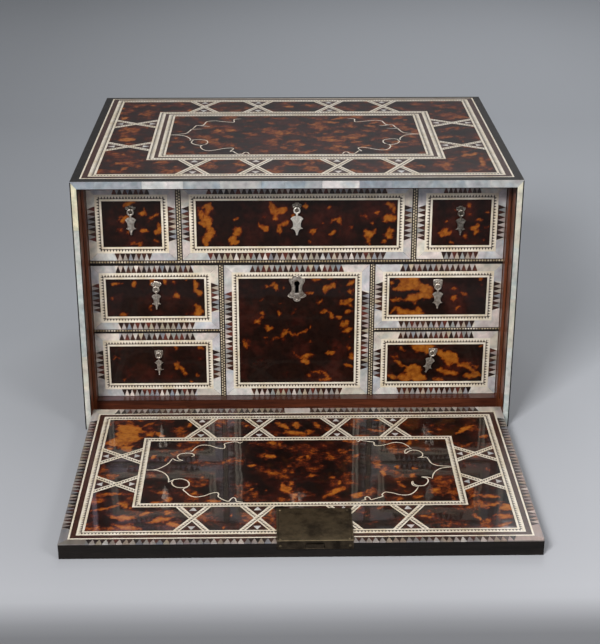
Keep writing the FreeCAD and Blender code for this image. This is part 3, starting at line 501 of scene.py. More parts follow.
def corners_of(rect: Rect) -> tuple[Point, ...]:
    """Returns a rectangle's corners, round from its left low one."""
    left, low, right, high = rect
    return ((left, low), (right, low), (right, high), (left, high))


def placed(name: str, mesh: bpy.types.Mesh, finish: Finish) -> bpy.types.Object:
    """Returns a mesh as an object of the scene, with its finish."""
    mesh.materials.append(finish.material())
    item = bpy.data.objects.new(name, mesh)
    bpy.context.scene.collection.objects.link(item)
    return item


WHITE: Tint = (1.0, 1.0, 1.0, 1.0)


class Veneer:
    """Flat pieces cut from one veneer, gathered on a surface into one object."""

    def __init__(self, name: str, plane: Plane) -> None:
        """Starts an empty veneer on a plane."""
        self.name = name
        self.plane = plane
        self.points: list[Vector] = []
        self.faces: list[list[int]] = []
        self.runs: list[Point] = []
        self.tints: list[Tint] = []

    def piece(self, outline: Sequence[Point], run: Optional[Sequence[Point]] = None,
              tint: Tint = WHITE, lift: float = 0.0, depth: float = 0.0) -> None:
        """Adds one flat piece.

        Args:
            outline: its corners on the surface, in millimetres.
            run: for each corner, millimetres along the strip and the share across it.
            tint: its colour, for finishes that use it.
            lift: its height above the surface.
            depth: how far its edges run down.
        """
        corners = list(outline)
        run = list(run or outline)
        area = sum(a[0] * b[1] - b[0] * a[1] for a, b in zip(corners, corners[1:] + corners[:1]))
        if (area > 0) != self.plane.turns_out():
            corners.reverse()
            run.reverse()
        first = len(self.points)
        count = len(corners)
        self.points += [self.plane.at(u, v, lift) for u, v in corners]
        self.faces.append(list(range(first, first + count)))
        self.runs += run
        self.tints += [tint] * count
        if depth:
            self.points += [self.plane.at(u, v, lift - depth) for u, v in corners]
            for i in range(count):
                j = (i + 1) % count
                self.faces.append([first + i, first + count + i, first + count + j, first + j])
                self.runs += [run[i], run[i], run[j], run[j]]
                self.tints += [tint] * 4

    def made(self, finish: Finish) -> bpy.types.Object:
        """Returns the pieces as one object with that finish."""
        mesh = bpy.data.meshes.new(self.name)
        mesh.from_pydata([tuple(p) for p in self.points], [], self.faces)
        layer = mesh.uv_layers.new(name="run")
        layer.data.foreach_set("uv", [c for run in self.runs for c in run])
        colours = mesh.color_attributes.new("tint", "FLOAT_COLOR", "CORNER")
        colours.data.foreach_set("color", [c for tint in self.tints for c in tint])
        return placed(self.name, mesh, finish)


def frame_strips(veneer: Veneer, outer: Rect, width: float, lift: float = 0.0,
                 depth: float = 0.0, flip: bool = False, tint: Tint = WHITE) -> None:
    """Adds four mitred strips round a rectangle, each with its run from its own middle."""
    corners, inside = corners_of(outer), corners_of(inset(outer, width))
    near, far = (1.0, 0.0) if flip else (0.0, 1.0)
    for i in range(4):
        j = (i + 1) % 4
        long = math.dist(corners[i], corners[j]) / 2
        short = math.dist(inside[i], inside[j]) / 2
        veneer.piece((corners[i], corners[j], inside[j], inside[i]),
                     ((-long, near), (long, near), (short, far), (-short, far)),
                     tint=tint, lift=lift, depth=depth)


@dataclass(frozen=True)
class Clouds:
    """Where a plate is amber, and how its clouds wander and fade.

    A stroke is a cloud's two ends and radius, or a round cloud's middle and radius, in
    millimetres; a negative radius is a dark patch.
    """

    strokes: Sequence[Sequence[float]] = ()
    flat: Point = (1.0, 1.0)
    haze: float = 0.36
    seed: float = 0.0
    most: float = 0.55
    soft: float = 3.8

    def at(self, points: np.ndarray) -> np.ndarray:
        """Gives each point its place between dark plate and amber cloud.

        Args:
            points: positions on the surface, in millimetres.

        Returns:
            A share for each point, 0.5 on a cloud's edge.
        """
        moved = points.copy()
        for pitch, reach in ((0.10, 3.6), (0.27, 2.2), (0.62, 1.0)):
            moved += reach * np.array([
                noise.noise_vector(Vector((u * pitch, v * pitch, self.seed + 20 * pitch)))[:2]
                for u, v in points])
        weights = np.array(self.flat)
        amber = np.full(len(points), -3.0 * self.soft)
        dark = amber.copy()
        for *ends, radius in self.strokes:
            start = np.array(ends[:2])
            run = np.array(ends[-2:]) - start
            length = max(float(run @ run), 1e-6)
            share = np.clip((moved - start) @ run / length, 0, 1)
            away = np.linalg.norm((moved - start - share[:, None] * run) * weights, axis=1)
            # a long cloud thins towards its ends
            taper = 1.08 - 0.7 * (2 * share - 1) ** 2 if length > radius ** 2 else 0.95
            if radius > 0:
                amber = np.maximum(amber, radius * taper - away)
            else:
                dark = np.maximum(dark, -radius * taper - away)
        veil = np.array([noise.fractal(Vector((u * 0.055, v * 0.055, self.seed + 40)), 0.7, 2.0,
                                       3) for u, v in points])
        drift = np.minimum(self.haze + (0.06 + 0.7 * self.haze) * veil, self.most)
        tone = np.maximum(np.clip(0.5 + amber / (2 * self.soft), 0.0, 0.8), drift)
        return np.minimum(tone, np.clip(0.5 - dark / (2 * self.soft), 0.0, 1.0))


def shell_sheet(name: str, plane: Plane, rect: Rect, cell: float, clouds: Clouds,
                lift: float = 0.0, holes: Sequence[Rect] = (),
                finish: Finish = SHELL) -> bpy.types.Object:
    """Makes a sheet of plate as a fine grid that carries its tone.

    Args:
        name: the object's name.
        plane: the surface it lies on.
        rect: its edges, in millimetres.
        cell: the grid's spacing.
        clouds: give each point its share of amber.
        lift: its height above the surface.
        holes: rectangles that are left open.
        finish: the plate's finish.

    Returns:
        The object.
    """
    across = max(1, round((rect[2] - rect[0]) / cell))
    down = max(1, round((rect[3] - rect[1]) / cell))
    us = np.linspace(rect[0], rect[2], across + 1)
    vs = np.linspace(rect[1], rect[3], down + 1)
    places = np.array([(u, v) for v in vs for u in us])
    outward = plane.turns_out()
    faces = []
    for j in range(down):
        for i in range(across):
            u = (us[i] + us[i + 1]) / 2
            v = (vs[j] + vs[j + 1]) / 2
            if not any(h[0] < u < h[2] and h[1] < v < h[3] for h in holes):
                a = j * (across + 1) + i
                face = (a, a + 1, a + across + 2, a + across + 1)
                faces.append(face if outward else face[::-1])
    mesh = bpy.data.meshes.new(name)
    mesh.from_pydata([tuple(plane.at(u, v, lift)) for u, v in places], [], faces)
    layer = mesh.attributes.new("shell_tone", "FLOAT", "POINT")
    layer.data.foreach_set("value", clouds.at(places).astype(np.float32))
    return placed(name, mesh, finish)


def fitted(item: bpy.types.Object, body: str, slot: str, *nodes: str) -> None:
    """Rides a piece on its body, hides the nodes it stands for, and reports it."""
    if nodes:
        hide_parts(*nodes)
    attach(item, body)
    LOG.info("%s rides on %s", item.name, body)


def smooth_path(points: Sequence[Point], steps: int = 5) -> list[Point]:
    """Returns a smooth line through points, with several places between each two."""
    ends = [points[0], *points, points[-1]]
    path = []
    for a, b, c, d in zip(ends, ends[1:], ends[2:], ends[3:]):
        for step in range(steps):
            t = step / steps
            path.append(tuple(
                0.5 * (2 * b[k] + (c[k] - a[k]) * t + (2 * a[k] - 5 * b[k] + 4 * c[k] - d[k])
                       * t * t + (3 * b[k] - a[k] - 3 * c[k] + d[k]) * t ** 3)
                for k in (0, 1)))
    path.append(points[-1])
    return path


def ribbon(veneer: Veneer, points: Sequence[Point], width: float, lift: float) -> None:
    """Adds a thin line along a smooth path, tapering at its two ends."""
    path = [Vector(p) for p in smooth_path(points)]
    sides = []
    for i, place in enumerate(path):
        run = (path[min(i + 1, len(path) - 1)] - path[max(i - 1, 0)]).normalized()
        close = min(i, len(path) - 1 - i) / 6
        half = width / 2 * min(1.0, 0.35 + close)
        off = Vector((-run.y, run.x)) * half
        sides.append((place + off, place - off))
    for (a, b), (c, d) in zip(sides, sides[1:]):
        veneer.piece((tuple(a), tuple(b), tuple(d), tuple(c)), lift=lift)


# ---- marquetry of the top, the walls and the fall

BAND_TINT = linear("#3e2016")
TRIANGLE_TINT = linear("#3c1d14")
CROSS_PEARL_TINT = linear("#cfcdc9")
SCROLL_WIDTH = 1.15
Cross = tuple[str, float]


@dataclass(frozen=True)
class Layout:
    """The widths of one marquetry surface from its edge inwards, in millimetres."""

    edge: Rect
    field: Rect
    crosses: tuple[Cross, ...]
    line: float = 1.7
    band: float = 5.9
    strip: float = 7.8
    frame: float = 7.4
    gap: float = 4.2
    second: float = 7.4
    strap_half: float = 18.0
    strap_width: float = 6.6


@dataclass(frozen=True)
class Marquetry:
    """One veneered surface: bone lines and strips, crosses, and the plate under them."""

    name: str
    plane: Plane
    rect: Rect
    layout: Layout
    body: str
    hidden: tuple[str, ...]
    clouds: Clouds
    cell: float = 2.5
    sunk: float = 0.06
    holes: tuple[Rect, ...] = ()
    cut: tuple[Rect, ...] = ()
    scrolls: tuple[tuple[Point, ...], ...] = ()
    finish: Finish = SHELL

    def rects(self) -> dict[str, Rect]:
        """Returns the rectangles at which the surface's zones start."""
        lay = self.layout
        zones = {"line": inset(self.rect, *lay.edge)}
        edge = zones["line"]
        for zone, by in (("band", (lay.line,)), ("strip", (lay.band,)), ("ring", (lay.strip,)),
                         ("frame", lay.field), ("gap", (lay.frame,)), ("second", (lay.gap,))):
            edge = zones[zone] = inset(edge, *by)
        return zones

    def cross(self, strings: Veneer, pale: Veneer, chips: Veneer, side: str,
              centre: float) -> None:
        """Adds the two straps of one cross, and the small triangles between their ends."""
        zones = self.rects()
        ring, inner = zones["ring"], zones["frame"]
        low, high = {"low": (ring[1], inner[1]), "high": (inner[3], ring[3]),
                     "left": (ring[0], inner[0]), "right": (inner[2], ring[2])}[side]
        half, strap = self.layout.strap_half, self.layout.strap_width
        turned = side in ("left", "right")

        def at(along: float, over: float) -> Point:
            return (over, along) if turned else (along, over)

        run = math.hypot(high - low, 2 * half - strap) / 2
        for order, way in enumerate((-1, 1)):
            outline = (at(centre - way * half, low), at(centre - way * (half - strap), low),
                       at(centre + way * half, high), at(centre + way * (half - strap), high))
            strings.piece(outline, ((-run, 0.0), (-run, 1.0), (run, 1.0), (run, 0.0)),
                          lift=0.02 * order - 0.03)
        reach = (half - strap) / (2 * half - strap) * (high - low)
        small = (half - strap) * 0.86
        for edge, towards in ((low, 1), (high, -1)):
            foot = edge + towards * 0.3
            tip, middle = foot + towards * reach * 0.86, foot + towards * reach * 0.43
            chips.piece((at(centre - small, foot), at(centre + small, foot), at(centre, tip)),
                        tint=TRIANGLE_TINT, lift=-0.03)
            pale.piece((at(centre - small * 0.42, middle), at(centre, foot + towards * 0.4),
                        at(centre + small * 0.42, middle)), tint=CROSS_PEARL_TINT, lift=-0.01)

    def build(self) -> None:
        """Makes the surface's pieces and fits them."""
        zones = self.rects()
        lay = self.layout
        sheet = shell_sheet(f"{self.name}_plate", self.plane, zones["line"], self.cell,
                            self.clouds, -self.sunk, self.holes, self.finish)
        strings, bone, pale, chips = (
            Veneer(f"{self.name}_{part}", self.plane)
            for part in ("stringing", "bone", "cross_pearl", "dark_bands"))
        frame_strips(bone, zones["line"], lay.line)
        frame_strips(chips, zones["band"], lay.band, lift=-0.03, tint=BAND_TINT)
        if lay.gap:
            frame_strips(chips, zones["gap"], lay.gap, lift=-0.03, tint=BAND_TINT)
        frame_strips(strings, zones["strip"], lay.strip)
        frame_strips(strings, zones["frame"], lay.frame, flip=True)
        if lay.second:
            frame_strips(strings, zones["second"], lay.second)
        for side, centre in lay.crosses:
            self.cross(strings, pale, chips, side, centre)
        for scroll in self.scrolls:
            ribbon(bone, scroll, SCROLL_WIDTH, -self.sunk / 2)
        for item, slot, hidden in ((sheet, "tortoiseshell", self.hidden),
                                   (strings.made(STRINGING), "bone", ()),
                                   (bone.made(BONE), "bone", ()),
                                   (pale.made(PEARL), "mother_of_pearl", ()),
                                   (chips.made(CHIPS), "tortoiseshell", ())):
            for hole in self.cut:
                cut_away(item, self.plane, hole)
            fitted(item, self.body, slot, *hidden)


def cut_away(item: bpy.types.Object, plane: Plane, hole: Rect) -> None:
    """Cuts a rectangle out of flat pieces along its four sides."""
    shape = bmesh.new()
    shape.from_mesh(item.data)
    for u, v, out in ((hole[0], 0, (-1, 0)), (hole[2], 0, (1, 0)), (0, hole[1], (0, -1)),
                      (0, hole[3], (0, 1))):
        normal = Vector(plane.along) * out[0] + Vector(plane.up) * out[1]
        bmesh.ops.bisect_plane(shape, geom=shape.verts[:] + shape.edges[:] + shape.faces[:],
                               plane_co=plane.at(u, v), plane_no=normal)
    gone = []
    for face in shape.faces:
        middle = face.calc_center_median() / MM - Vector(plane.origin)
        u, v = middle.dot(Vector(plane.along)), middle.dot(Vector(plane.up))
        if hole[0] < u < hole[2] and hole[1] < v < hole[3]:
            gone.append(face)
    bmesh.ops.delete(shape, geom=gone, context="FACES")
    shape.to_mesh(item.data)
    shape.free()


# ---- pearl borders

PEARL_CASTS = ("#a39f9a", "#b8afa7", "#bdb0a2", "#bfb097", "#b1a39b", "#a3a199", "#c8beb4",
               "#98989a", "#b2a390", "#e6dccf")
CHIP_CASTS = ("#2e1710", "#3b1e15", "#4a251a", "#34201a", "#251611", "#5c2a20", "#46291d")
CORNER_CASTS = ("#e2d9cb", "#d5d2d0", "#dfd4cb", "#d5d2cb", "#e4dac8", "#cecbcb")


@dataclass
class PearlBorder:
    """A mitred pearl border with a row of dark and pale triangles along each side.

    Its plain corners can be painted darker at one level of the surface and lighter at another, a
    painted sheen: the first value is the share at the level of the second, and the third the share
    at the level of the fourth.
    """

    pearl: Veneer
    chips: Veneer
    seed: int
    depth: float = 1.2
    bright: float = 1.0
    painted_sheen: Rect = (1.0, 0.0, 1.0, 1.0)
    glue: float = 0.12

    def __post_init__(self) -> None:
        """Starts the border's own random order."""
        self.random = random.Random(self.seed)

    def cast(self, casts: Sequence[str]) -> Tint:
        """Returns one of the casts, a little lighter or darker."""
        colour = linear(self.random.choice(casts))
        return shaded(colour, self.random.uniform(0.86, 1.12) * self.bright)

    def plain(self, spot: Point, *outline: Point) -> None:
        """Adds a plain piece of pearl, with the painted sheen that the surface has at a spot."""
        first, low, last, high = self.painted_sheen
        share = first + (last - first) * (spot[1] - low) / (high - low)
        self.pearl.piece(outline, tint=shaded(self.cast(CORNER_CASTS), share), depth=self.depth)

    def side(self, at: Callable[[float, float], Point], long: float, wide: Point,
             width: float, bare: float, count: int, clear: Sequence[Point] = ()) -> None:
        """Adds one side of the border.

        Args:
            at: gives the point along the side and inwards from the outer edge.
            long: the side's outer length.
            wide: the widths of the borders that meet it at its start and end.
            width: its own width.
            bare: the length of plain pearl at its start and at its end.
            count: how many dark triangles it has between them.
            clear: spans along the side that are plain pearl too.
        """
        glue = self.glue
        start, end = bare, long - bare
        pitch = (end - start) / count
        self.plain(at(start, 0), at(glue, 0), at(start, 0), at(start, width),
                   at(wide[0] + glue, width))
        self.plain(at(end, 0), at(end, 0), at(long - glue, 0), at(long - wide[1] - glue, width),
                   at(end, width))
        for first, last in clear:
            self.plain(at(first, 0), at(first, 0), at(last, 0), at(last, width),
                       at(first, width))

        def taken(place: float) -> bool:
            return any(span[0] < place < span[1] for span in clear)

        half = pitch / 2
        for i in range(count):
            left = start + i * pitch
            if taken(left + half):
                continue
            nudge = self.random.uniform(-0.12, 0.12)
            self.chips.piece((at(left + 0.15, width), at(left + half + nudge, 0.35),
                              at(left + pitch - 0.15, width)), tint=self.cast(CHIP_CASTS),
                             depth=self.depth)
            if i + 1 < count and not taken(left + pitch):
                self.pearl.piece((at(left + half + 0.2, 0), at(left + pitch + half - 0.2, 0),
                                  at(left + pitch, width - 0.35)),
                                 tint=self.cast(PEARL_CASTS), depth=self.depth)
        for first, second in ((start, start + half), (end, end - half)):
            self.plain(at(first, 0), at(first, 0), at(second, 0),
                       at(first, width - width * 0.10))

    def sides(self, rect: Rect, widths: Rect, bare: Point,
              counts: tuple[int, int, int, int],
              clears: Sequence[Sequence[Point]] = ((), (), (), ())) -> None:
        """Adds the four sides.

        Args:
            rect: the border's outer edge.
            widths: its width at the left, low, right and high sides.
            bare: plain pearl at the ends of the level and of the upright sides.
            counts: dark triangles on the low, right, high and left sides.
            clears: plain spans on each of those sides.
        """
        left, low, right, high = rect
        wide, tall = right - left, high - low
        level_ends, upright_ends = widths[::2], widths[1::2]
        ways = (
            (lambda s, w: (left + s, low + w), wide, level_ends, widths[1], bare[0]),
            (lambda s, w: (right - w, low + s), tall, upright_ends, widths[2], bare[1]),
            (lambda s, w: (left + s, high - w), wide, level_ends, widths[3], bare[0]),
            (lambda s, w: (left + w, low + s), tall, upright_ends, widths[0], bare[1]),
        )
        for way, count, clear in zip(ways, counts, clears):
            self.side(*way, count, clear)


# ---- castings

def star_reach(outline: Sequence[Point], centre: Point, angle: float) -> float:
    """Returns how far an outline lies from its centre in one direction."""
    ray = Vector((math.cos(angle), math.sin(angle)))
    best = 0.0
    for a, b in zip(outline, list(outline[1:]) + [outline[0]]):
        start = Vector(a) - Vector(centre)
        edge = Vector(b) - Vector(a)
        cross = ray.x * edge.y - ray.y * edge.x
        if abs(cross) < 1e-9:
            continue
        far = (start.x * edge.y - start.y * edge.x) / cross
        share = (start.x * ray.y - start.y * ray.x) / cross
        if far > 0 and -1e-6 <= share <= 1 + 1e-6:
            best = max(best, far)
    return best


def turns(steps: int) -> list[Point]:
    """Returns the cosine and the sine of each step round a circle."""
    return [(math.cos(2 * math.pi * k / steps), math.sin(2 * math.pi * k / steps))
            for k in range(steps)]


def skin(shape: bmesh.types.BMesh, rings: Sequence[Sequence[bmesh.types.BMVert]],
         closed: bool = True, flip: bool = False) -> None:
    """Joins each ring of points to the next by quads.

    Args:
        shape: the shape they are in.
        rings: the rings, each with as many points.
        closed: whether each ring's end joins its start.
        flip: whether the quads face the other way.
    """
    for first, second in zip(rings, rings[1:]):
        for i in range(len(first) if closed else len(first) - 1):
            j = (i + 1) % len(first)
            shape.faces.new((first[i], second[i], second[j], first[j]) if flip else
                            (first[i], first[j], second[j], second[i]))


@dataclass(frozen=True)
class Casting:
    """A flat casting with a swelling face, from its outline in millimetres."""

    outline: tuple[Point, ...]
    centre: Point
    thick: float
    profile: tuple[Point, ...]
    hole: tuple[Point, ...] = ()
    two_faced: bool = False
    sides: int = 120

    def made(self, name: str, plane: Plane, finish: Finish) -> bpy.types.Object:
        """Makes the casting on a plane.

        Args:
            name: the object's name.
            plane: where it stands; its back is on the plane, or its middle if two-faced.
            finish: its finish.

        Returns:
            The object.
        """
        shape = bmesh.new()
        angles = [2 * math.pi * i / self.sides for i in range(self.sides)]
        corners = [math.atan2(p[1] - self.centre[1], p[0] - self.centre[0]) % (2 * math.pi)
                   for p in self.outline]
        angles = sorted(set(round(a, 5) for a in angles + corners))
        outer = [star_reach(self.outline, self.centre, a) for a in angles]
        inner = [star_reach(self.hole, self.centre, a) if self.hole else 0.0 for a in angles]

        def ring(share: float, height: float) -> list[bmesh.types.BMVert]:
            made = []
            for angle, far, near in zip(angles, outer, inner):
                reach = near + (far - near) * share
                made.append(shape.verts.new(plane.at(
                    self.centre[0] + reach * math.cos(angle),
                    self.centre[1] + reach * math.sin(angle), height * self.thick)))
            return made

        for facing in (1, -1) if self.two_faced else (1,):
            rings = [ring(share, facing * height) for share, height in self.profile]
            if not self.two_faced:
                rings.insert(0, ring(1.0, 0.0))
            if self.hole:
                rings.append(ring(0.0, 0.0))
            skin(shape, rings)
            if not self.hole:
                shape.faces.new(rings[-1])
        bmesh.ops.remove_doubles(shape, verts=shape.verts[:], dist=1e-6)
        bmesh.ops.recalc_face_normals(shape, faces=shape.faces[:])
        return finished(shape, name, finish)


def finished(shape: bmesh.types.BMesh, name: str, finish: Finish,
             smooth: float = 38.0) -> bpy.types.Object:
    """Turns a built shape to an object, smooth except at edges over an angle in degrees."""
    mesh = bpy.data.meshes.new(name)
    for edge in shape.edges:
        sharp = len(edge.link_faces) != 2 or edge.calc_face_angle(0.0) > math.radians(smooth)
        edge.smooth = not sharp
    for face in shape.faces:
        face.smooth = True
    shape.to_mesh(mesh)
    shape.free()
    return placed(name, mesh, finish)


def ring_into(shape: bmesh.types.BMesh, centre: Vector, first: Place, second: Place,
              radius: float, wire: Point, steps: int = 36, round_steps: int = 12) -> None:
    """Adds a ring of oval wire to a shape.

    Args:
        shape: the shape.
        centre: its middle, in millimetres.
        first: one direction in the ring's plane.
        second: the other.
        radius: its middle radius.
        wire: half the wire's width in the ring's plane and across it.
        steps: places round the ring.
        round_steps: places round the wire.
    """
    axis = Vector(first).cross(Vector(second))
    rings = []
    for a, b in turns(steps):
        spoke = Vector(first) * a + Vector(second) * b
        rings.append([shape.verts.new((centre + spoke * (radius + wire[0] * c)
                                       + axis * (wire[1] * s)) * MM)
                      for c, s in turns(round_steps)])
    skin(shape, rings + rings[:1], flip=True)


def bar_into(shape: bmesh.types.BMesh, start: Vector, end: Vector, half: Point) -> None:
    """Adds a hammered leg of oval wire that narrows to its end.

    Args:
        shape: the shape.
        start: one end, in millimetres.
        end: the other, which is narrower.
        half: half its height and half its depth.
    """
    rings = [[shape.verts.new((start.lerp(end, share) + Vector((
        0.0, half[1] * size * s, half[0] * size * c))) * MM) for c, s in turns(12)]
        for share, size in ((0.0, 0.82), (0.1, 1.0), (0.6, 0.92), (0.9, 0.6), (1.0, 0.3))]
    skin(shape, rings)
    for ring in (rings[0], rings[-1]):
        shape.faces.new(ring)


def dome_into(shape: bmesh.types.BMesh, plane: Plane, place: Point, radius: float, base: float,
              rise: float, steps: int = 20) -> None:
    """Adds a domed pin head that stands on a plane."""
    rings = []
    for k in range(5):
        turn = math.pi / 2 * k / 5
        rings.append([shape.verts.new(plane.at(
            place[0] + radius * math.cos(turn) * c, place[1] + radius * math.cos(turn) * s,
            base + rise * math.sin(turn))) for c, s in turns(steps)])
    skin(shape, rings)
    shape.faces.new(rings[-1])


def arc_points(a: Point, b: Point, c: Point, steps: int = 7) -> list[Point]:
    """Returns points on the arc from a through b to c, without its last."""
    (ax, ay), (bx, by), (cx, cy) = a, b, c
    d = 2 * (ax * (by - cy) + bx * (cy - ay) + cx * (ay - by))
    ux = ((ax ** 2 + ay ** 2) * (by - cy) + (bx ** 2 + by ** 2) * (cy - ay)
          + (cx ** 2 + cy ** 2) * (ay - by)) / d
    uy = ((ax ** 2 + ay ** 2) * (cx - bx) + (bx ** 2 + by ** 2) * (ax - cx)
          + (cx ** 2 + cy ** 2) * (bx - ax)) / d
    radius = math.hypot(ax - ux, ay - uy)
    start = math.atan2(ay - uy, ax - ux)
    mid = (math.atan2(by - uy, bx - ux) - start) % (2 * math.pi)
    stop = (math.atan2(cy - uy, cx - ux) - start) % (2 * math.pi)
    if mid > stop:
        stop -= 2 * math.pi
    return [(ux + radius * math.cos(start + stop * k / steps),
             uy + radius * math.sin(start + stop * k / steps)) for k in range(steps)]


def mirrored_outline(bends: Sequence[Sequence[Point]], half: float, height: float,
                     rise: int) -> tuple[Point, ...]:
    """Returns a closed outline from its right half.

    Args:
        bends: the half's runs, each by the points after the last run's end: the end of a
            straight one, or a point on an arc and its end. The first is where the half starts.
        half: the outline's half width.
        height: its height.
        rise: 1 where it rises from its start, and -1 where it hangs.
    """
    right: list[Point] = []
    last = bends[0][0]
    for bend in bends[1:]:
        points = [(x * half, rise * z * height) for x, z in (last, *bend)]
        right += arc_points(*points) if len(points) == 3 else points[:1]
        last = bend[-1]
    right.append((last[0] * half, rise * last[1] * height))
    left = [(-x, z) for x, z in reversed(right) if x > 1e-6]
    return tuple(right + left)


LEAF_BENDS = (
    ((0.16, 0.0),), ((0.19, 0.12),), ((0.56, 0.145), (0.98, 0.25)), ((0.74, 0.34), (0.58, 0.52)),
    ((0.66, 0.63), (0.94, 0.70)), ((0.52, 0.72), (0.28, 0.80)), ((0.13, 0.93),),
    ((0.12, 0.98), (0.0, 1.0)),
)
ROSETTE_BENDS = (
    ((0.0, 0.0),), ((0.36, 0.05), (0.50, 0.24)), ((0.66, 0.44), (0.98, 0.60)),
    ((1.0, 0.82), (0.60, 0.87)), ((0.38, 0.98), (0.0, 1.0)),
)
ROUND_ROSETTE_BENDS = (
    ((0.0, 0.0),), ((0.42, 0.03), (0.78, 0.18)), ((1.0, 0.42), (0.98, 0.70)),
    ((0.9, 0.93), (0.52, 0.94)), ((0.3, 1.0), (0.0, 1.0)),
)
PLATE_BENDS = (
    ((0.0, 0.0),), ((0.28, 0.035), (0.42, 0.135)), ((0.76, 0.155), (1.0, 0.24)),
    ((0.66, 0.35), (0.54, 0.50)), ((0.60, 0.62), (0.74, 0.71)), ((0.83, 0.79), (0.76, 0.88)),
    ((0.58, 0.885), (0.44, 0.93)), ((0.26, 0.985), (0.0, 1.0)),
)


@dataclass(frozen=True)
class Pull:
    """A drawer's pull: a lobed rosette, its staple, and a leaf that hangs from it."""

    drawer: str
    x: float
    z: float
    lean: float = 0.0
    rosette_half: float = 5.6
    rosette_height: float = 11.0
    rosette_drop: float = 5.4
    staple_radius: float = 2.05
    staple_wire: float = 0.55
    eye_radius: float = 2.9
    eye_wire: Point = (0.9, 0.58)
    leaf_half: float = 6.2
    leaf_height: float = 21.8
    pivot_y: float = -134.60
    face_y: float = -132.0
    board_back: float = -119.57
    rosette_bends: tuple = ROSETTE_BENDS
    rosette_finish: Finish = SILVER
    leaf_finish: Finish = SILVER

    def build(self) -> None:
        """Makes the rosette with its staple, and the leaf with its eye."""
        body = f"drawer_{self.drawer}"
        x, z, drop = self.x, self.z, self.rosette_drop
        pivot = Vector((x, self.pivot_y, z))
        outline = mirrored_outline(self.rosette_bends, self.rosette_half, self.rosette_height, 1)
        base = upright(self.face_y, x, z - drop)
        plate = Casting(outline, (0.0, drop), 0.9, (
            (1.0, 0.45), (0.93, 0.8), (0.8, 0.62), (0.62, 0.85), (0.3, 1.0),
            (0.1, 0.9))).made(f"{body}_rosette", base, self.rosette_finish)
        shape = bmesh.new()
        ring_into(shape, pivot, (0, 1, 0), (0, 0, 1), self.staple_radius,
                  (self.staple_wire, self.staple_wire))
        for side in (-1, 1):
            dome_into(shape, base, (side * 0.75, drop), 0.75, 0.3, 1.0, 10)
        # five ribs fan over the rosette's lobes
        reach = self.rosette_height - drop - 1.0
        for turn in (-72, -36, 0, 36, 72):
            run = Vector((math.sin(math.radians(turn)), math.cos(math.radians(turn))))
            long = min(reach, self.rosette_half - 1.3) if abs(turn) > 40 else reach
            for k in range(6):
                spot = Vector((0.0, drop)) + run * (1.0 + (long - 1.0) * k / 5)
                dome_into(shape, base, tuple(spot), 0.36, 0.5, 0.5, 8)
        # the staple's legs are clinched over inside the drawer
        for side in (-1, 1):
            bar_into(shape, Vector((x, self.board_back, z)),
                     Vector((x + side * 3.45, self.board_back - 0.08, z)), (0.88, 0.42))
        staple = finished(shape, f"{body}_staple", self.rosette_finish)
        fitted(plate, body, "silver", f"{body}_pull")
        fitted(staple, body, "silver")
        self.hang(body, pivot)

    def hang(self, body: str, pivot: Vector) -> None:
        """Makes the drop: an oval-wire eye and a chased leaf, leaning as it hangs."""
        tall = self.leaf_height
        eye = self.eye_wire[0] - (self.eye_radius + self.eye_wire[0])
        hanging = upright(0, 0, eye - self.eye_radius)
        leaf = Casting(mirrored_outline(LEAF_BENDS, self.leaf_half, tall, -1),
                       (0.0, -0.5 * tall), 0.6, (
            (1.0, 0.45), (0.9, 0.8), (0.78, 0.62), (0.62, 0.85), (0.25, 1.0),
            (0.08, 1.0)), two_faced=True).made(f"{body}_leaf", hanging, self.leaf_finish)
        shape = bmesh.new()
        shape.from_mesh(leaf.data)
        bpy.data.objects.remove(leaf)
        ring_into(shape, Vector((0, 0, eye)), (1, 0, 0), (0, 0, 1), self.eye_radius,
                  self.eye_wire)
        # a raised rib down the leaf, with veins to its lobes
        veins = [((0.0, -1.0), (0.0, -0.93 * tall))]
        veins += [((0.0, -f * tall), (s * 4.2, -g * tall))
                  for f, g in ((0.45, 0.26), (0.62, 0.67)) for s in (-1, 1)]
        for start, end in veins:
            count = max(4, int(math.dist(start, end) / 0.62))
            for k in range(count):
                share = k / (count - 1)
                dome_into(shape, hanging, (start[0] + (end[0] - start[0]) * share,
                                           start[1] + (end[1] - start[1]) * share),
                          0.34, 0.3, 0.3, 8)
        shape.transform(Matrix.Translation(pivot * MM) @ Matrix.Rotation(
            math.radians(self.lean), 4, "Y"))
        drop = finished(shape, f"{body}_leaf_drop", self.leaf_finish)
        fitted(drop, f"{body}_handle", "silver", f"{body}_drop")


# ---- drawers

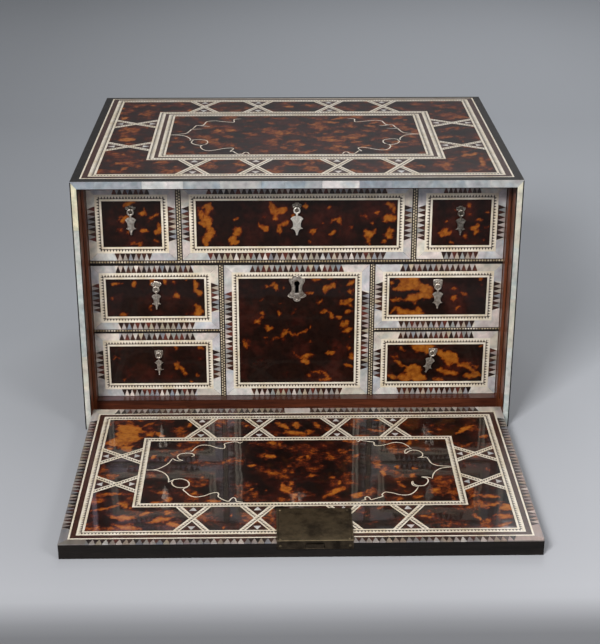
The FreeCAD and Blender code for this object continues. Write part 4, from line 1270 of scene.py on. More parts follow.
@dataclass(frozen=True)
class Drawer:
    """A drawer's front: its edges, its triangle counts and the clouds of its plate.

    The clouds are strokes in shares of the panel, from its left and from its top, and of its
    height.
    """

    name: str
    rect: Rect
    counts: tuple[int, int, int]
    plain: Point
    clouds: tuple[tuple[float, ...], ...]
    holes: tuple[Rect, ...] = ()
    pearl_width: float = 8.1
    frame_width: float = 7.1
    frame_play: float = 0.1
    face_y: float = -132.0
    depth: float = 1.2
    cell: float = 1.6

    def strokes(self, panel: Rect) -> list[list[float]]:
        """Returns the clouds in millimetres."""
        wide, tall = panel[2] - panel[0], panel[3] - panel[1]
        return [[panel[3] - share * tall if i % 2 else panel[0] + share * wide
                 for i, share in enumerate(ends)] + [radius * tall]
                for *ends, radius in self.clouds]

    def build(self) -> None:
        """Makes the pearl border, the bone frame and the plate, and fits them."""
        body = f"drawer_{self.name}"
        plane = upright(self.face_y)
        seed = sum(map(ord, self.name))
        pearl, chips, strings = (Veneer(f"{body}_{part}", plane)
                                 for part in ("pearl", "chips", "stringing"))
        low, high, side = self.counts
        PearlBorder(pearl, chips, seed, self.depth).sides(
            self.rect, (self.pearl_width,) * 4, self.plain, (low, side, high, side))
        outer = inset(self.rect, self.pearl_width)
        frame_strips(strings, outer, self.frame_width - self.frame_play, depth=self.depth)
        panel = inset(outer, self.frame_width)
        clouds = Clouds(self.strokes(panel), haze=0.20, seed=seed * 0.37)
        # the drawer's plate takes the darker shell, painted shade of the recess
        sheet = shell_sheet(f"{body}_plate", plane, panel, self.cell, clouds, -0.08, self.holes,
                            SHADED_DRAWER_SHELL)
        fitted(pearl.made(PEARL), body, "mother_of_pearl", f"{body}_border")
        fitted(chips.made(CHIPS), body, "tortoiseshell")
        fitted(strings.made(STRINGING), body, "bone")
        fitted(sheet, body, "tortoiseshell", f"{body}_panel")


DRAWERS = (
    Drawer("top_left", (-219.7, 180.25, -127.35, 261.5), (7, 7, 7), (26.3, 21.0), (
        (.37, .07, .56, .02, .05), (.64, .22, .75, .27, .06), (.78, .43, .94, .25, .035),
        (.33, .44, .45, .36, .065), (.34, .41, .34, .44, .07), (.29, .61, .035), (.42, .655, .04),
        (.70, .67, .73, .67, .07), (.945, .5, .935, .74, .06), (.46, .905, .62, .89, .03),
        (.62, .885, .61, .99, .045), (.91, .89, .03))),
    Drawer("top_centre", (-121.15, 180.25, 121.15, 261.5), (31, 31, 7), (26.3, 21.0), (
        (.066, .06, .05, .35, .09), (.035, .36, .07, .62, .15), (.07, .62, .095, .72, .07),
        (.06, .65, .045, .98, .11), (.02, .18, .03, .35, .05), (.048, .22, -.045),
        (.218, .58, .19, .80, .07), (.19, .8, .165, .98, .11), (.198, .425, .04),
        (.376, .05, .385, .37, .07), (.395, .29, .447, .19, .07), (.385, .37, .40, .42, .06),
        (.314, .515, .352, .616, .06), (.331, .33, .03), (.414, .717, .424, .536, .04),
        (.424, .55, .461, .475, .05), (.484, .37, .49, .29, .05), (.537, .06, .546, .18, .06),
        (.658, .08, .65, .17, .04), (.67, .475, .713, .333, .03), (.713, .333, .723, .54, .04),
        (.625, .515, .03), (.557, .717, .594, .656, .05), (.666, .757, .699, .677, .05),
        (.561, .92, .568, .87, .04), (.77, .616, .035), (.832, .373, .045), (.87, .495, .05),
        (.837, .778, .879, .696, .11), (.86, .78, .851, .94, .05), (.938, .11, .971, .12, .05),
        (.971, .12, .976, .25, .05), (.886, .293, .919, .272, .04), (.933, .435, .99, .354, .08),
        (.938, .736, .985, .70, .10), (.93, .86, .06))),
    Drawer("top_right", (127.35, 180.25, 219.7, 261.5), (7, 8, 7), (26.3, 21.0), (
        (.62, .14, .05), (.61, .32, .03), (.92, .29, .96, .29, .04), (.25, .45, .26, .52, .05),
        (.4, .23, .02), (.81, .455, .045), (.65, .65, .80, .58, .07), (.74, .66, .77, .78, .08),
        (.88, .615, .97, .605, .03), (.155, .75, .32, .69, .075), (.58, .78, .045),
        (.92, .91, .035), (.37, .97, .035), (.35, .66, .02))),
    Drawer("mid_left", (-219.7, 100.4, -84.1, 173.95), (14, 15, 6), (26.3, 20.0), (
        (.083, .08, .155, .135, .06), (.285, .066, .28, .237, .06), (.447, .03, .46, .13, .08),
        (.60, .03, .60, .06, .06), (.688, .02, .69, .1, .06), (.80, .04, .04),
        (.928, .03, .92, .26, .07), (.92, .26, .948, .42, .08), (.713, .447, .718, .48, .07),
        (.04, .545, .04), (.44, .73, .055), (.128, .91, .182, .925, .045),
        (.182, .925, .19, .99, .04), (.88, .77, .958, .77, .06), (.935, .8, .938, .98, .11),
        (.65, .56, .02))),
    Drawer("mid_right", (84.1, 100.4, 219.7, 173.95), (14, 14, 6), (26.3, 20.0), (
        (.02, .12, .38, .16, .2), (.06, .3, .42, .3, .2), (.1, .5, .44, .48, .2),
        (.02, .6, .12, .62, .08), (.30, .8, .33, .93, .1), (.03, .88, .36, .96, .12),
        (.02, .07, .096, .10, -.07), (.028, .22, .085, .23, -.07), (.337, .07, .46, .05, -.09),
        (.01, .505, .29, .37, -.08), (.087, .677, .27, .748, -.13), (.31, .70, .54, .72, -.17),
        (.077, .944, -.07), (.5, .3, .5, .5, -.12), (.63, .28, .686, .275, .04),
        (.734, .41, .81, .48, .045), (.637, .577, .695, .506, .05), (.686, .87, .743, .834, .045),
        (.927, .05, .05))),
    Drawer("low_left", (-219.7, 20.3, -84.1, 95.4), (15, 14, 6), (26.3, 20.0), (
        (.03, .34, .11, .29, .025), (.145, .87, .04), (.69, .02, .05), (.95, .03, .94, .03, .04),
        (.66, .59, .70, .48, .09), (.70, .5, .78, .76, .05), (.775, .76, .06), (.905, .76, .05),
        (.85, .97, .05), (.93, .34, .025))),
    Drawer("low_right", (84.1, 20.3, 219.7, 95.4), (14, 15, 6), (26.3, 20.0), (
        (.11, .03, .18, .15, .05), (.25, .03, .47, .06, .10), (.30, .12, .47, .20, .07),
        (.53, .12, .60, .22, .06), (.54, .24, .76, .47, .13), (.60, .22, .72, .33, .07),
        (.70, .42, .97, .82, .06), (.76, .45, .96, .62, .04), (.62, .50, .68, .55, .05),
        (.20, .62, .34, .66, .10), (.22, .72, .38, .92, .17), (.12, .84, .26, .94, .10),
        (.06, .44, .22, .62, .05), (.52, .66, .74, .78, .10), (.50, .93, .62, .98, .05),
        (.82, .90, .98, .88, .09), (.90, .74, .98, .86, .06), (.01, .80, .10, .92, .06),
        (.02, .30, .10, .36, .03), (.98, .05, .03), (.84, .55, .92, .60, -.03),
        (.58, .60, .70, .66, -.04))),
    Drawer("centre", (-77.9, 20.3, 77.9, 173.95), (17, 17, 16), (27.5, 30.0), (
        (.22, .08, .26, .046, .018), (.26, .046, .33, .07, .018), (.33, .07, .31, .11, .018),
        (.39, .09, .010), (.65, .01, .71, .02, .02), (.785, .005, .015),
        (.727, .125, .79, .05, .02), (.79, .05, .83, .085, .025), (.93, .06, .99, .025, .03),
        (.94, .12, .99, .11, .015), (.565, .145, .65, .13, .014), (.21, .21, .012),
        (.37, .23, .012), (.70, .23, .015), (.875, .235, .98, .205, .03), (.965, .26, .02),
        (.18, .305, .21, .34, .014), (.21, .34, .19, .39, .012), (.19, .39, .125, .42, .018),
        (.36, .30, .355, .355, .018), (.49, .285, .47, .34, .010), (.695, .325, .79, .33, .014),
        (.79, .33, .81, .375, .02), (.84, .38, .875, .37, .018), (.915, .34, .965, .32, .018),
        (.23, .455, .285, .475, .02), (.235, .55, .014), (.30, .588, .37, .55, .012),
        (.37, .55, .42, .48, .018), (.42, .495, .505, .53, .013), (.505, .53, .57, .505, .012),
        (.61, .45, .605, .485, .016), (.605, .605, .02), (.875, .445, .945, .42, .016),
        (.89, .505, .985, .475, .03), (.97, .55, .012), (.06, .58, .06, .65, .014),
        (.465, .70, .505, .745, .010), (.515, .75, .645, .735, .02), (.54, .785, .605, .79, .035),
        (.77, .72, .825, .715, .022), (.83, .675, .01), (.955, .657, .018),
        (.965, .725, .985, .785, .02), (.93, .83, .98, .865, .016), (.605, .945, .014),
        (.635, .905, .745, .90, .013), (.745, .90, .775, .955, .02),
        (.71, .975, .815, .965, .02)), holes=((-3.2, 141.0, 3.2, 156.5),)),
)
# the top row's rosettes and the top right leaf take the silver with painted shade, and the top
# middle leaf the silver with painted highlight
PULLS = (
    Pull("top_left", -174.45, 237.61, rosette_half=5.2, rosette_height=9.4, leaf_half=5.9,
         leaf_height=22.2, rosette_finish=SHADED_SILVER),
    Pull("top_centre", 0.0, 238.75, rosette_half=4.6, rosette_height=10.6, leaf_half=6.8,
         leaf_height=24.4, rosette_finish=SHADED_SILVER, leaf_finish=LIT_SILVER),
    Pull("top_right", 172.51, 234.85, rosette_half=4.7, rosette_height=10.0, leaf_half=5.4,
         leaf_height=21.4, rosette_finish=SHADED_SILVER, leaf_finish=SHADED_SILVER),
    Pull("mid_left", -150.95, 150.63, rosette_half=5.4, leaf_half=5.1, leaf_height=20.0),
    Pull("mid_right", 151.49, 151.81, rosette_half=4.9, rosette_height=10.6, leaf_half=5.8,
         leaf_height=22.2, rosette_bends=ROUND_ROSETTE_BENDS),
    Pull("low_left", -151.09, 72.95, rosette_half=4.6, rosette_height=8.2, leaf_half=3.6,
         leaf_height=20.4, rosette_bends=ROUND_ROSETTE_BENDS),
    Pull("low_right", 149.19, 73.25, lean=16.0, rosette_half=4.7, rosette_height=8.4,
         leaf_half=5.4, leaf_height=21.0, rosette_bends=ROUND_ROSETTE_BENDS),
)


# ---- escutcheon

@dataclass(frozen=True)
class Escutcheon:
    """The middle drawer's keyhole plate, with its two pins."""

    foot: float = 131.8
    half: float = 10.3
    height: float = 31.0
    key_level: float = 152.9
    key_radius: float = 3.1
    key_slot: float = 3.9
    key_length: float = 14.0
    pin_margin: float = 2.2
    shade_liner_scale: float = 0.96
    shade_liner_depth: float = 11.5
    face_y: float = -132.0

    def keyhole(self) -> tuple[Point, ...]:
        """Returns the keyhole's outline, from the plate's foot."""
        up = self.key_level - self.foot
        low = up + self.key_radius - self.key_length
        half = self.key_slot / 2
        turn = math.asin(half / self.key_radius)
        start, stop = -math.pi / 2 + turn, 1.5 * math.pi - turn
        angles = [start + (stop - start) * k / 30 for k in range(31)]
        arc = [(self.key_radius * math.cos(a), up + self.key_radius * math.sin(a))
               for a in angles]
        return ((half, low), *arc, (-half, low))

    def build(self) -> None:
        """Makes the plate, its pins and a dark sleeve in the keyhole, painted shade where the
        hole's inside falls dark.
        """
        outline = mirrored_outline(PLATE_BENDS, self.half, self.height, 1)
        up = self.key_level - self.foot - 2.5
        base = upright(self.face_y, 0, self.foot)
        plate = Casting(outline, (0.0, up), 0.9, (
            (1.0, 0.5), (0.94, 0.9), (0.82, 0.6), (0.74, 0.62), (0.62, 0.98), (0.2, 1.0),
            (0.06, 0.86), (0.0, 0.6)), hole=self.keyhole(), sides=160).made(
                "drawer_centre_keyhole_plate", base, SILVER)
        shape = bmesh.new()
        for rise in (self.pin_margin, self.height - self.pin_margin):
            dome_into(shape, base, (0.0, rise), 1.3, 0.4, 1.0)
        pins = finished(shape, "drawer_centre_plate_pins", SILVER)
        # painted shade: a dark sleeve inside the keyhole stands where the hole's inside falls into
        # shade
        shape = bmesh.new()
        rings = [[shape.verts.new(base.at(x * self.shade_liner_scale, (z - up) * self.shade_liner_scale + up, lift))
                  for x, z in self.keyhole()] for lift in (0.2, -self.shade_liner_depth)]
        skin(shape, rings)
        shape.faces.new(rings[1])
        shade_liner = finished(shape, "drawer_centre_keyhole_painted_shade", EBONY)
        fitted(plate, "drawer_centre", "silver", "drawer_centre_escutcheon")
        fitted(pins, "drawer_centre", "silver")
        fitted(shade_liner, "drawer_centre", "ebony")


# ---- carcase

EDGING_CASTS = ("#a2a8ab", "#acafae", "#999fa4", "#b8b6b1", "#dcd9d4")
SIDE_CASTS = ("#cbcdc3", "#d1d1c5", "#c1c8c2", "#d4d0bd")
LAST_SIDE_CASTS = ("#e8dfbe", "#e6dec6", "#ddd2ba")


@dataclass(frozen=True)
class Carcase:
    """The boards of the cabinet's body, with their edging and partition fronts."""

    half: float = 230.0
    front: float = -173.0
    height: float = 280.0
    edging_side: float = 6.5
    edging_top: float = 7.5
    edging_thick: float = 1.2
    veneer: float = 1.2
    glue: float = 0.06
    face_y: float = -132.0

    def boards(self) -> None:
        """Gives the boards their woods, and the hidden pieces their metals."""
        finishes = {
            "top_board": ROSEWOOD_X, "bottom_board": ROSEWOOD_X, "left_side": ROSEWOOD_Z,
            "right_side": ROSEWOOD_Z, "back_board": BACKBOARD, "dividers": ROSEWOOD_Y,
            "carcase_borders": EBONY, "hinge_pins": STEEL, "lock_keep": STEEL,
            "drawer_centre_lock": STEEL, "drawer_centre_bolt": STEEL,
            "fall_lock_bolt": SHADED_BRONZE, "fall_board": EBONY,
        }
        finishes.update({f"drawer_{drawer.name}_box": CEDAR for drawer in DRAWERS})
        for name, finish in finishes.items():
            item = frame["nodes"][name]
            item.data.materials.clear()
            item.data.materials.append(finish.material())
            LOG.info("%s is %s", name, finish.name)

    def edging(self) -> None:
        """Makes the pearl edging of the front, in the lengths it was sawn to."""
        edge = Veneer("front_pearl_edging", upright(self.front))
        chance = random.Random(71)
        side, top, glue = self.edging_side, self.edging_top, self.glue
        left, right, high = -self.half, self.half, self.height

        def laid(casts: Sequence[str], *outline: Point) -> None:
            colour = linear(chance.choice(casts))
            edge.piece(outline, tint=shaded(colour, chance.uniform(0.9, 1.1)),
                       depth=self.edging_thick)

        places = [left]
        while places[-1] < right - 40:
            places.append(places[-1] + chance.uniform(16, 42))
        places.append(right)
        for a, b in zip(places, places[1:]):
            low_a, low_b = max(a, left + side), min(b, right - side)
            laid(EDGING_CASTS, (a + glue, high), (b - glue, high), (low_b - glue, high - top),
                 (low_a + glue, high - top))
        wall_edge = Veneer("side_veneer_edges", upright(self.front))
        for hand, inner in ((left, left + side), (right, right - side)):
            lip = hand + math.copysign(self.veneer, -hand)
            wall_edge.piece(((hand, 0.0), (lip, 0.0), (lip, high - self.veneer), (hand, high)),
                            depth=self.edging_thick)
            places = [0.0]
            while places[-1] < high - top - 60:
                places.append(places[-1] + chance.uniform(26, 62))
            for a, b in zip(places, places[1:]):
                laid(SIDE_CASTS, (lip, a + glue), (inner, a + glue), (inner, b - glue),
                     (lip, b - glue))
            last = places[-1] + glue
            laid(LAST_SIDE_CASTS, (lip, last), (inner, last), (inner, high - top),
                 (lip, high - self.veneer))
        fitted(edge.made(PEARL), "carcase", "mother_of_pearl", "front_edging")
        fitted(wall_edge.made(EBONY), "carcase", "ebony")

    def partition_fronts(self) -> None:
        """Lays the fine stringing on the partitions' and shelves' front edges, a dark strip of
        painted shade under each shelf's stringing, and dark lines on the recess walls, one of them
        painted shade.
        """
        lift = 0.05
        fronts, shelves, lower = (
            Veneer(name, upright(self.face_y))
            for name in ("partition_stringing", "shelf_stringing", "shelf_painted_shade_line"))
        for x, low, high in ((-124.25, 179.95, 262.0), (124.25, 179.95, 262.0),
                             (-81.0, 20.0, 174.45), (81.0, 20.0, 174.45)):
            fronts.piece(corners_of((x - 2.5, low, x + 2.5, high)),
                         ((0.0, 0.0), (0.0, 1.0), (high - low, 1.0), (high - low, 0.0)),
                         lift=lift)
        for left, right, low, high in ((-220.3, 220.3, 174.45, 179.95),
                                       (-220.3, -83.5, 95.9, 100.1),
                                       (83.5, 220.3, 95.9, 100.1)):
            # painted shade: below the stringing, a dark strip stands for the shadowed gap over the
            # drawer below
            split = high - 0.6 * (high - low)
            shelves.piece(corners_of((left, split, right, high)),
                          corners_of((0.0, 0.0, right - left, 1.0)), lift=lift)
            lower.piece(corners_of((left, low, right, split)), lift=lift)
        fitted(fronts.made(LOZENGES), "carcase", "bone")
        fitted(shelves.made(SHELF_LINES), "carcase", "bone")
        fitted(lower.made(EBONY), "carcase", "ebony")
        for hand, name in ((-1, "left"), (1, "right")):
            side = Plane((hand * (self.half - self.edging_side), 0, 0), (0, 1, 0), (0, 0, 1),
                         (-hand, 0, 0))
            lines = Veneer(f"{name}_recess_line_and_painted_shade", side)
            # the front strip is an ebony line along the recess wall; the back one, by the drawers,
            # is painted shade of the gap there
            for near, far in ((-172.9, -166.5), (-147.5, -143.1)):
                lines.piece(corners_of((near, 20.2, far, 272.3)), lift=0.04)
            fitted(lines.made(EBONY), "carcase", "ebony")


TOP_CLOUDS = (
    (-205, 121, 2.2), (-202, 78, -196, 74, 3.6), (-169, 135, 2.2), (-182, 92, 1.8),
    (-135, 139, 2.2), (-124, 112, 1.8), (-196, -18, -179, -15, 2.7), (-168, 33, 1.6),
    (-192, 30, 1.4), (-187, -76, 2.0), (-190, -110, -184, -105, 2.3), (-178, -127, 2.2),
    (-150, -105, -137, -100, 1.6), (-136, -133, 2.2), (-126, -122, 1.6), (-120, -133, 1.6),
    (-12, 129, 0, 125, 3.0), (-97, -111, -91, -103, 1.5), (-65, -109, -54, -118, 2.4),
    (-58, -134, 1.9), (-13, -118, 1.3), (10, -113, 1.9), (-87, 21, 3.2), (-74, 15, -69, 25, 2.1),
    (-88, -17, 2.1), (-35, 15, 1.7), (-19, 18, -16, 1, 2.8), (-9, 4, -4, 17, 1.7), (-42, 25, 1.6),
    (-13, -52, 2.0), (7, -40, 2.4), (1, -61, 2.7), (10, -67, 2.0), (15, 47, 1.6), (-133, -10, 2.1),
    (-124, -47, 2.4), (44, 67, 58, 74, 2.4), (16, 45, 28, 42, 1.7), (62, 41, 68, 28, 2.0),
    (26, -20, 54, -24, 1.6), (32, 4, 1.5), (62, -33, 73, -27, 1.6), (68, 3, 80, -3, 1.5),
    (76, 22, 89, 12, 1.5), (87, -18, 1.6), (99, 9, 106, 21, 1.3), (109, 34, 114, 40, 1.3),
    (6, -38, 1.9), (10, -2, 1.3), (20, -61, 1.4), (101, -45, 109, -48, 1.4), (86, 47, 99, 57, 1.5),
    (127, 66, 131, 59, 1.5), (97, -9, 107, -15, 1.3), (124, 40, 1.4), (116, 66, 1.5),
    (15, 140, 22, 129, 2.5), (169, 145, 1.4), (172, 103, 1.6), (193, 78, 203, 75, 1.7),
    (185, -29, 1.3), (10, -121, 19, -126, 1.5), (63, -127, 1.2), (79, -135, 85, -135, 1.2),
    (126, -117, 132, -123, 1.8), (150, -118, 165, -118, 1.5), (177, -86, 194, -75, 2.5),
    (196, -91, 195, -124, 2.5), (201, -134, 1.5), (34, 58, 50, 52, 2.0), (40, -44, 58, -52, 1.9),
    (70, -50, 84, -42, 1.9), (60, -10, 70, -16, 1.8), (46, 18, 54, 10, 1.8),
    (92, -56, 104, -62, 1.8), (112, -26, 122, -32, 1.7), (80, 40, 92, 34, 1.7),
    (30, -8, 44, -12, 1.7),
)
FALL_CLOUDS = (
    (-191, -197, -165, -210, 6.8), (-195, -228, -166, -226, 5.7), (-185, -245, -171, -247, 4.0),
    (-198, -245, -191, -250, 2.3), (-161, -214, -152, -219, 2.4), (-200, -191, 2.7),
    (-84, -197, 2.4), (-54, -197, 2.7), (-115, -196, 3.1), (-123, -241, 2.0), (-148, -265, 2.9),
    (-137, -271, 2.3), (-70, -274, 1.9), (-108, -316, 2.2), (-140, -337, -129, -339, 2.8),
    (-127, -351, 3.4), (-103, -338, 2.5), (-88, -355, -78, -353, 1.8), (-28, -237, 4.0),
    (-18, -239, 2.0), (-34, -263, -25, -268, 2.3), (-50, -284, -42, -283, 1.9),
    (-29, -301, -23, -300, 1.9), (-9, -285, 1.6), (-9, -298, 1.6), (-50, -334, -46, -332, 1.9),
    (-18, -324, -11, -339, 4.7), (-6, -345, 3.1), (-34, -336, 1.2), (-96, -308, 1.3),
    (-198, -339, -166, -340, 1.5), (-173, -355, -166, -367, 2.5), (-178, -385, -158, -384, 3.0),
    (-154, -379, -141, -373, 2.1), (-125, -393, -111, -402, 3.3), (-189, -401, 1.8),
    (-129, -373, -123, -376, 2.1), (-193, -406, 1.5), (-85, -384, 1.4), (-67, -381, 1.8),
    (-72, -403, 2.1), (-31, -375, -26, -372, 2.4), (-5, -197, 2, -197, 4.6), (13, -212, 3.2),
    (76, -209, 92, -213, 2.1), (83, -186, 88, -190, 1.8), (167, -218, 187, -200, 3.2),
    (144, -199, 1.8), (139, -214, 1.8), (192, -228, 199, -224, 1.6), (168, -251, 181, -244, 1.2),
    (191, -297, 1.5), (173, -349, 193, -349, 1.9), (192, -368, 202, -373, 3.2),
    (186, -386, 200, -388, 1.9), (173, -401, 179, -389, 1.9), (171, -366, 180, -371, 1.4),
    (154, -402, 1.4), (132, -402, 1.1), (112, -385, 123, -387, 1.6), (55, -369, 1.9),
    (76, -369, 1.6), (91, -398, 1.6), (10, -263, 7, -275, 2.0), (10, -304, 13, -308, 3.6),
    (33, -311, 2.0), (56, -269, 62, -264, 2.0), (54, -255, 1.2), (47, -235, 57, -233, 1.6),
    (26, -242, 1.6), (41, -253, 2.1), (-8, -297, 1.7), (-8, -321, 2.6), (-7, -349, 2.9),
    (98, -292, 101, -289, 2.7), (116, -292, 2.3), (110, -308, 118, -306, 1.7), (78, -285, 3.7),
    (80, -302, 87, -302, 2.7), (95, -319, 103, -329, 1.6), (24, -347, 44, -328, 3.2),
    (51, -347, 61, -341, 2.6), (39, -321, 2.0), (117, -345, 112, -351, 2.6),
    (131, -342, 135, -336, 2.6), (118, -232, 114, -243, 2.8), (123, -234, 1.7), (96, -228, 1.6),
    (93, -351, 99, -353, 1.4), (148, -352, 1.4), (137, -286, 1.2), (-190, -214, -168, -222, 6.4),
    (-200, -235, -180, -237, 4.4), (-186, -196, -176, -192, 3.0), (-152, -212, -141, -220, 2.6),
    (-163, -196, -156, -190, 2.0), (-22, -190, -10, -208, 3.0), (-18, -214, 8, -216, 2.2),
    (16, -192, 24, -206, 2.4), (-199, -371, -176, -362, 1.8), (-150, -362, -134, -357, 2.2),
    (-143, -392, -122, -384, 2.4), (-176, -397, -150, -405, 2.2), (-162, -368, -158, -361, 1.6),
    (176, -366, 196, -360, 1.8), (164, -380, 170, -396, 2.0), (182, -404, 196, -398, 1.8),
    (164, -352, 174, -344, 1.6),
)
TOP_SCROLL = (
    ((-141, 3), (-124, 8), (-119, 20), (-117, 26), (-105, 27)),
    ((-117, 28), (-115, 34), (-113, 42), (-108, 42), (-103, 40), (-97, 38)),
    ((-108, 43), (-105, 45), (-103, 54), (-101, 60), (-93, 63), (-85, 60), (-72, 56), (-70, 59),
     (-70, 69), (-62, 71)),
    ((-141, 2), (-129, 1), (-122, -4), (-117, -14), (-117, -21)),
    ((-117, -20), (-110, -17), (-103, -18), (-98, -22), (-97, -30), (-99, -36), (-104, -40),
     (-111, -36), (-115, -28), (-113, -19)),
    ((-99, -36), (-104, -44), (-101, -56), (-95, -61), (-86, -58), (-79, -53), (-70, -51),
     (-68, -55), (-71, -64), (-68, -64), (-63, -74), (-58, -74), (-57, -72), (-55, -68),
     (-52, -69), (-50, -76)),
)
FALL_SCROLLS = (
    ((-153.4, -292.0), (-143.9, -291.2), (-136.4, -284.7), (-132.0, -278.2), (-128.7, -268.2)),
    ((-128.7, -268.2), (-126.0, -272.0), (-122.6, -273.7), (-117.8, -273.4)),
    ((-117.8, -273.1), (-122.4, -270.0), (-124.1, -263.9), (-121.1, -259.2), (-115.5, -257.6),
     (-109.7, -258.4), (-107.0, -262.5), (-110.1, -265.5)),
    ((-111.6, -253.2), (-109.7, -252.6), (-106.3, -245.4), (-100.7, -240.6), (-92.4, -241.4),
     (-84.0, -246.8), (-77.3, -247.9), (-76.3, -243.4), (-76.8, -238.2), (-71.1, -234.8),
     (-64.5, -233.8), (-61.1, -236.7), (-57.9, -233.2)),
    ((-153.4, -292.6), (-143.8, -292.8), (-136.2, -297.8), (-131.8, -304.3), (-129.6, -312.3),
     (-130.1, -317.3)),
    ((-130.1, -317.3), (-126.4, -313.9), (-123.4, -311.4), (-116.3, -310.9), (-110.5, -315.8),
     (-109.0, -323.6), (-113.0, -327.6), (-120.0, -327.5), (-124.6, -323.4), (-126.3, -317.4),
     (-124.8, -313.3)),
    ((-109.9, -326.8), (-114.3, -331.3), (-110.8, -337.6), (-106.6, -343.7), (-100.3, -346.3),
     (-92.7, -343.9), (-86.7, -339.5), (-81.3, -338.0), (-79.2, -341.1), (-79.5, -345.7),
     (-74.6, -351.8), (-69.2, -354.9), (-67.0, -350.4), (-64.7, -348.0), (-62.4, -350.5),
     (-61.5, -355.0), (-55.3, -356.6)),
    ((155.5, -289.7), (145.6, -288.5), (138.2, -286.7), (133.7, -281.8), (131.9, -274.8),
     (129.6, -268.5)),
    ((131.9, -274.8), (130.6, -270.2), (126.4, -270.2), (120.5, -270.1)),
    ((120.5, -270.1), (125.7, -268.4), (127.0, -262.1), (123.5, -256.3), (117.6, -254.8),
     (113.1, -257.6), (109.8, -261.8), (109.2, -256.8), (111.8, -252.6), (117.1, -251.6)),
    ((116.2, -251.5), (111.8, -243.2), (106.2, -238.3), (98.4, -238.2), (89.4, -242.8),
     (82.4, -244.5), (78.7, -242.7), (78.6, -237.2), (74.3, -235.3), (67.5, -233.4),
     (65.0, -231.5), (62.6, -235.1), (60.6, -232.5)),
    ((155.4, -290.7), (144.3, -292.6), (137.4, -297.9), (133.3, -306.2), (132.0, -313.5)),
    ((132.0, -313.5), (127.3, -311.1), (121.6, -310.4), (126.4, -313.4), (127.0, -319.4),
     (123.3, -326.5), (117.5, -328.1), (112.5, -324.7), (111.8, -318.8), (110.6, -322.4),
     (111.8, -327.3), (116.5, -329.4)),
    ((116.5, -329.4), (112.4, -338.6), (106.2, -344.9), (98.0, -345.4), (90.3, -341.5),
     (83.1, -339.8), (79.6, -344.5), (80.1, -347.7), (75.1, -350.7), (68.5, -353.8),
     (67.1, -350.6), (64.8, -348.1), (62.6, -350.5), (62.9, -353.7), (58.8, -355.2)),
)


def mirrored(paths: Sequence[Sequence[Point]]) -> tuple[tuple[Point, ...], ...]:
    """Returns the paths and their mirror images about x = 0."""
    return (*paths, *(tuple((-x, y) for x, y in path) for path in paths))


def crosses(sides: Sequence[str], *offsets: float, middle: float = 0.0) -> tuple[Cross, ...]:
    """Returns crosses on each side, at each offset both ways from the middle."""
    return tuple((side, middle + way * at) for side in sides for way in (-1, 1)
                 for at in offsets)


LEVEL_SIDES = ("low", "high")
UPRIGHT_SIDES = ("left", "right")
TOP_LAYOUT = Layout(
    edge=(8.5, 10.3, 8.5, 6.0), field=(47.1, 50.4, 47.1, 48.6),
    crosses=crosses(LEVEL_SIDES, 107.7, 42.7)
    + tuple((side, at) for side in UPRIGHT_SIDES for at in (-43.5, 50.3)))
WALL_LAYOUT = Layout(
    edge=(8.5,) * 4, field=(44.0,) * 4,
    crosses=crosses(LEVEL_SIDES, 46.0) + tuple((side, 139.4) for side in UPRIGHT_SIDES))
FALL_LAYOUT = Layout(
    edge=(7.9, 7.9, 7.9, 10.9), band=5.1, strip=7.0, field=(40.2, 42.4, 40.2, 42.4), frame=7.2,
    gap=0.0, second=0.0, strap_half=17.0,
    crosses=crosses(LEVEL_SIDES, 102.4, 41.0) + crosses(UPRIGHT_SIDES, 28.7, middle=-291.5))
OUTER_LAYOUT = replace(FALL_LAYOUT, edge=(7.9,) * 4)


# ---- fall

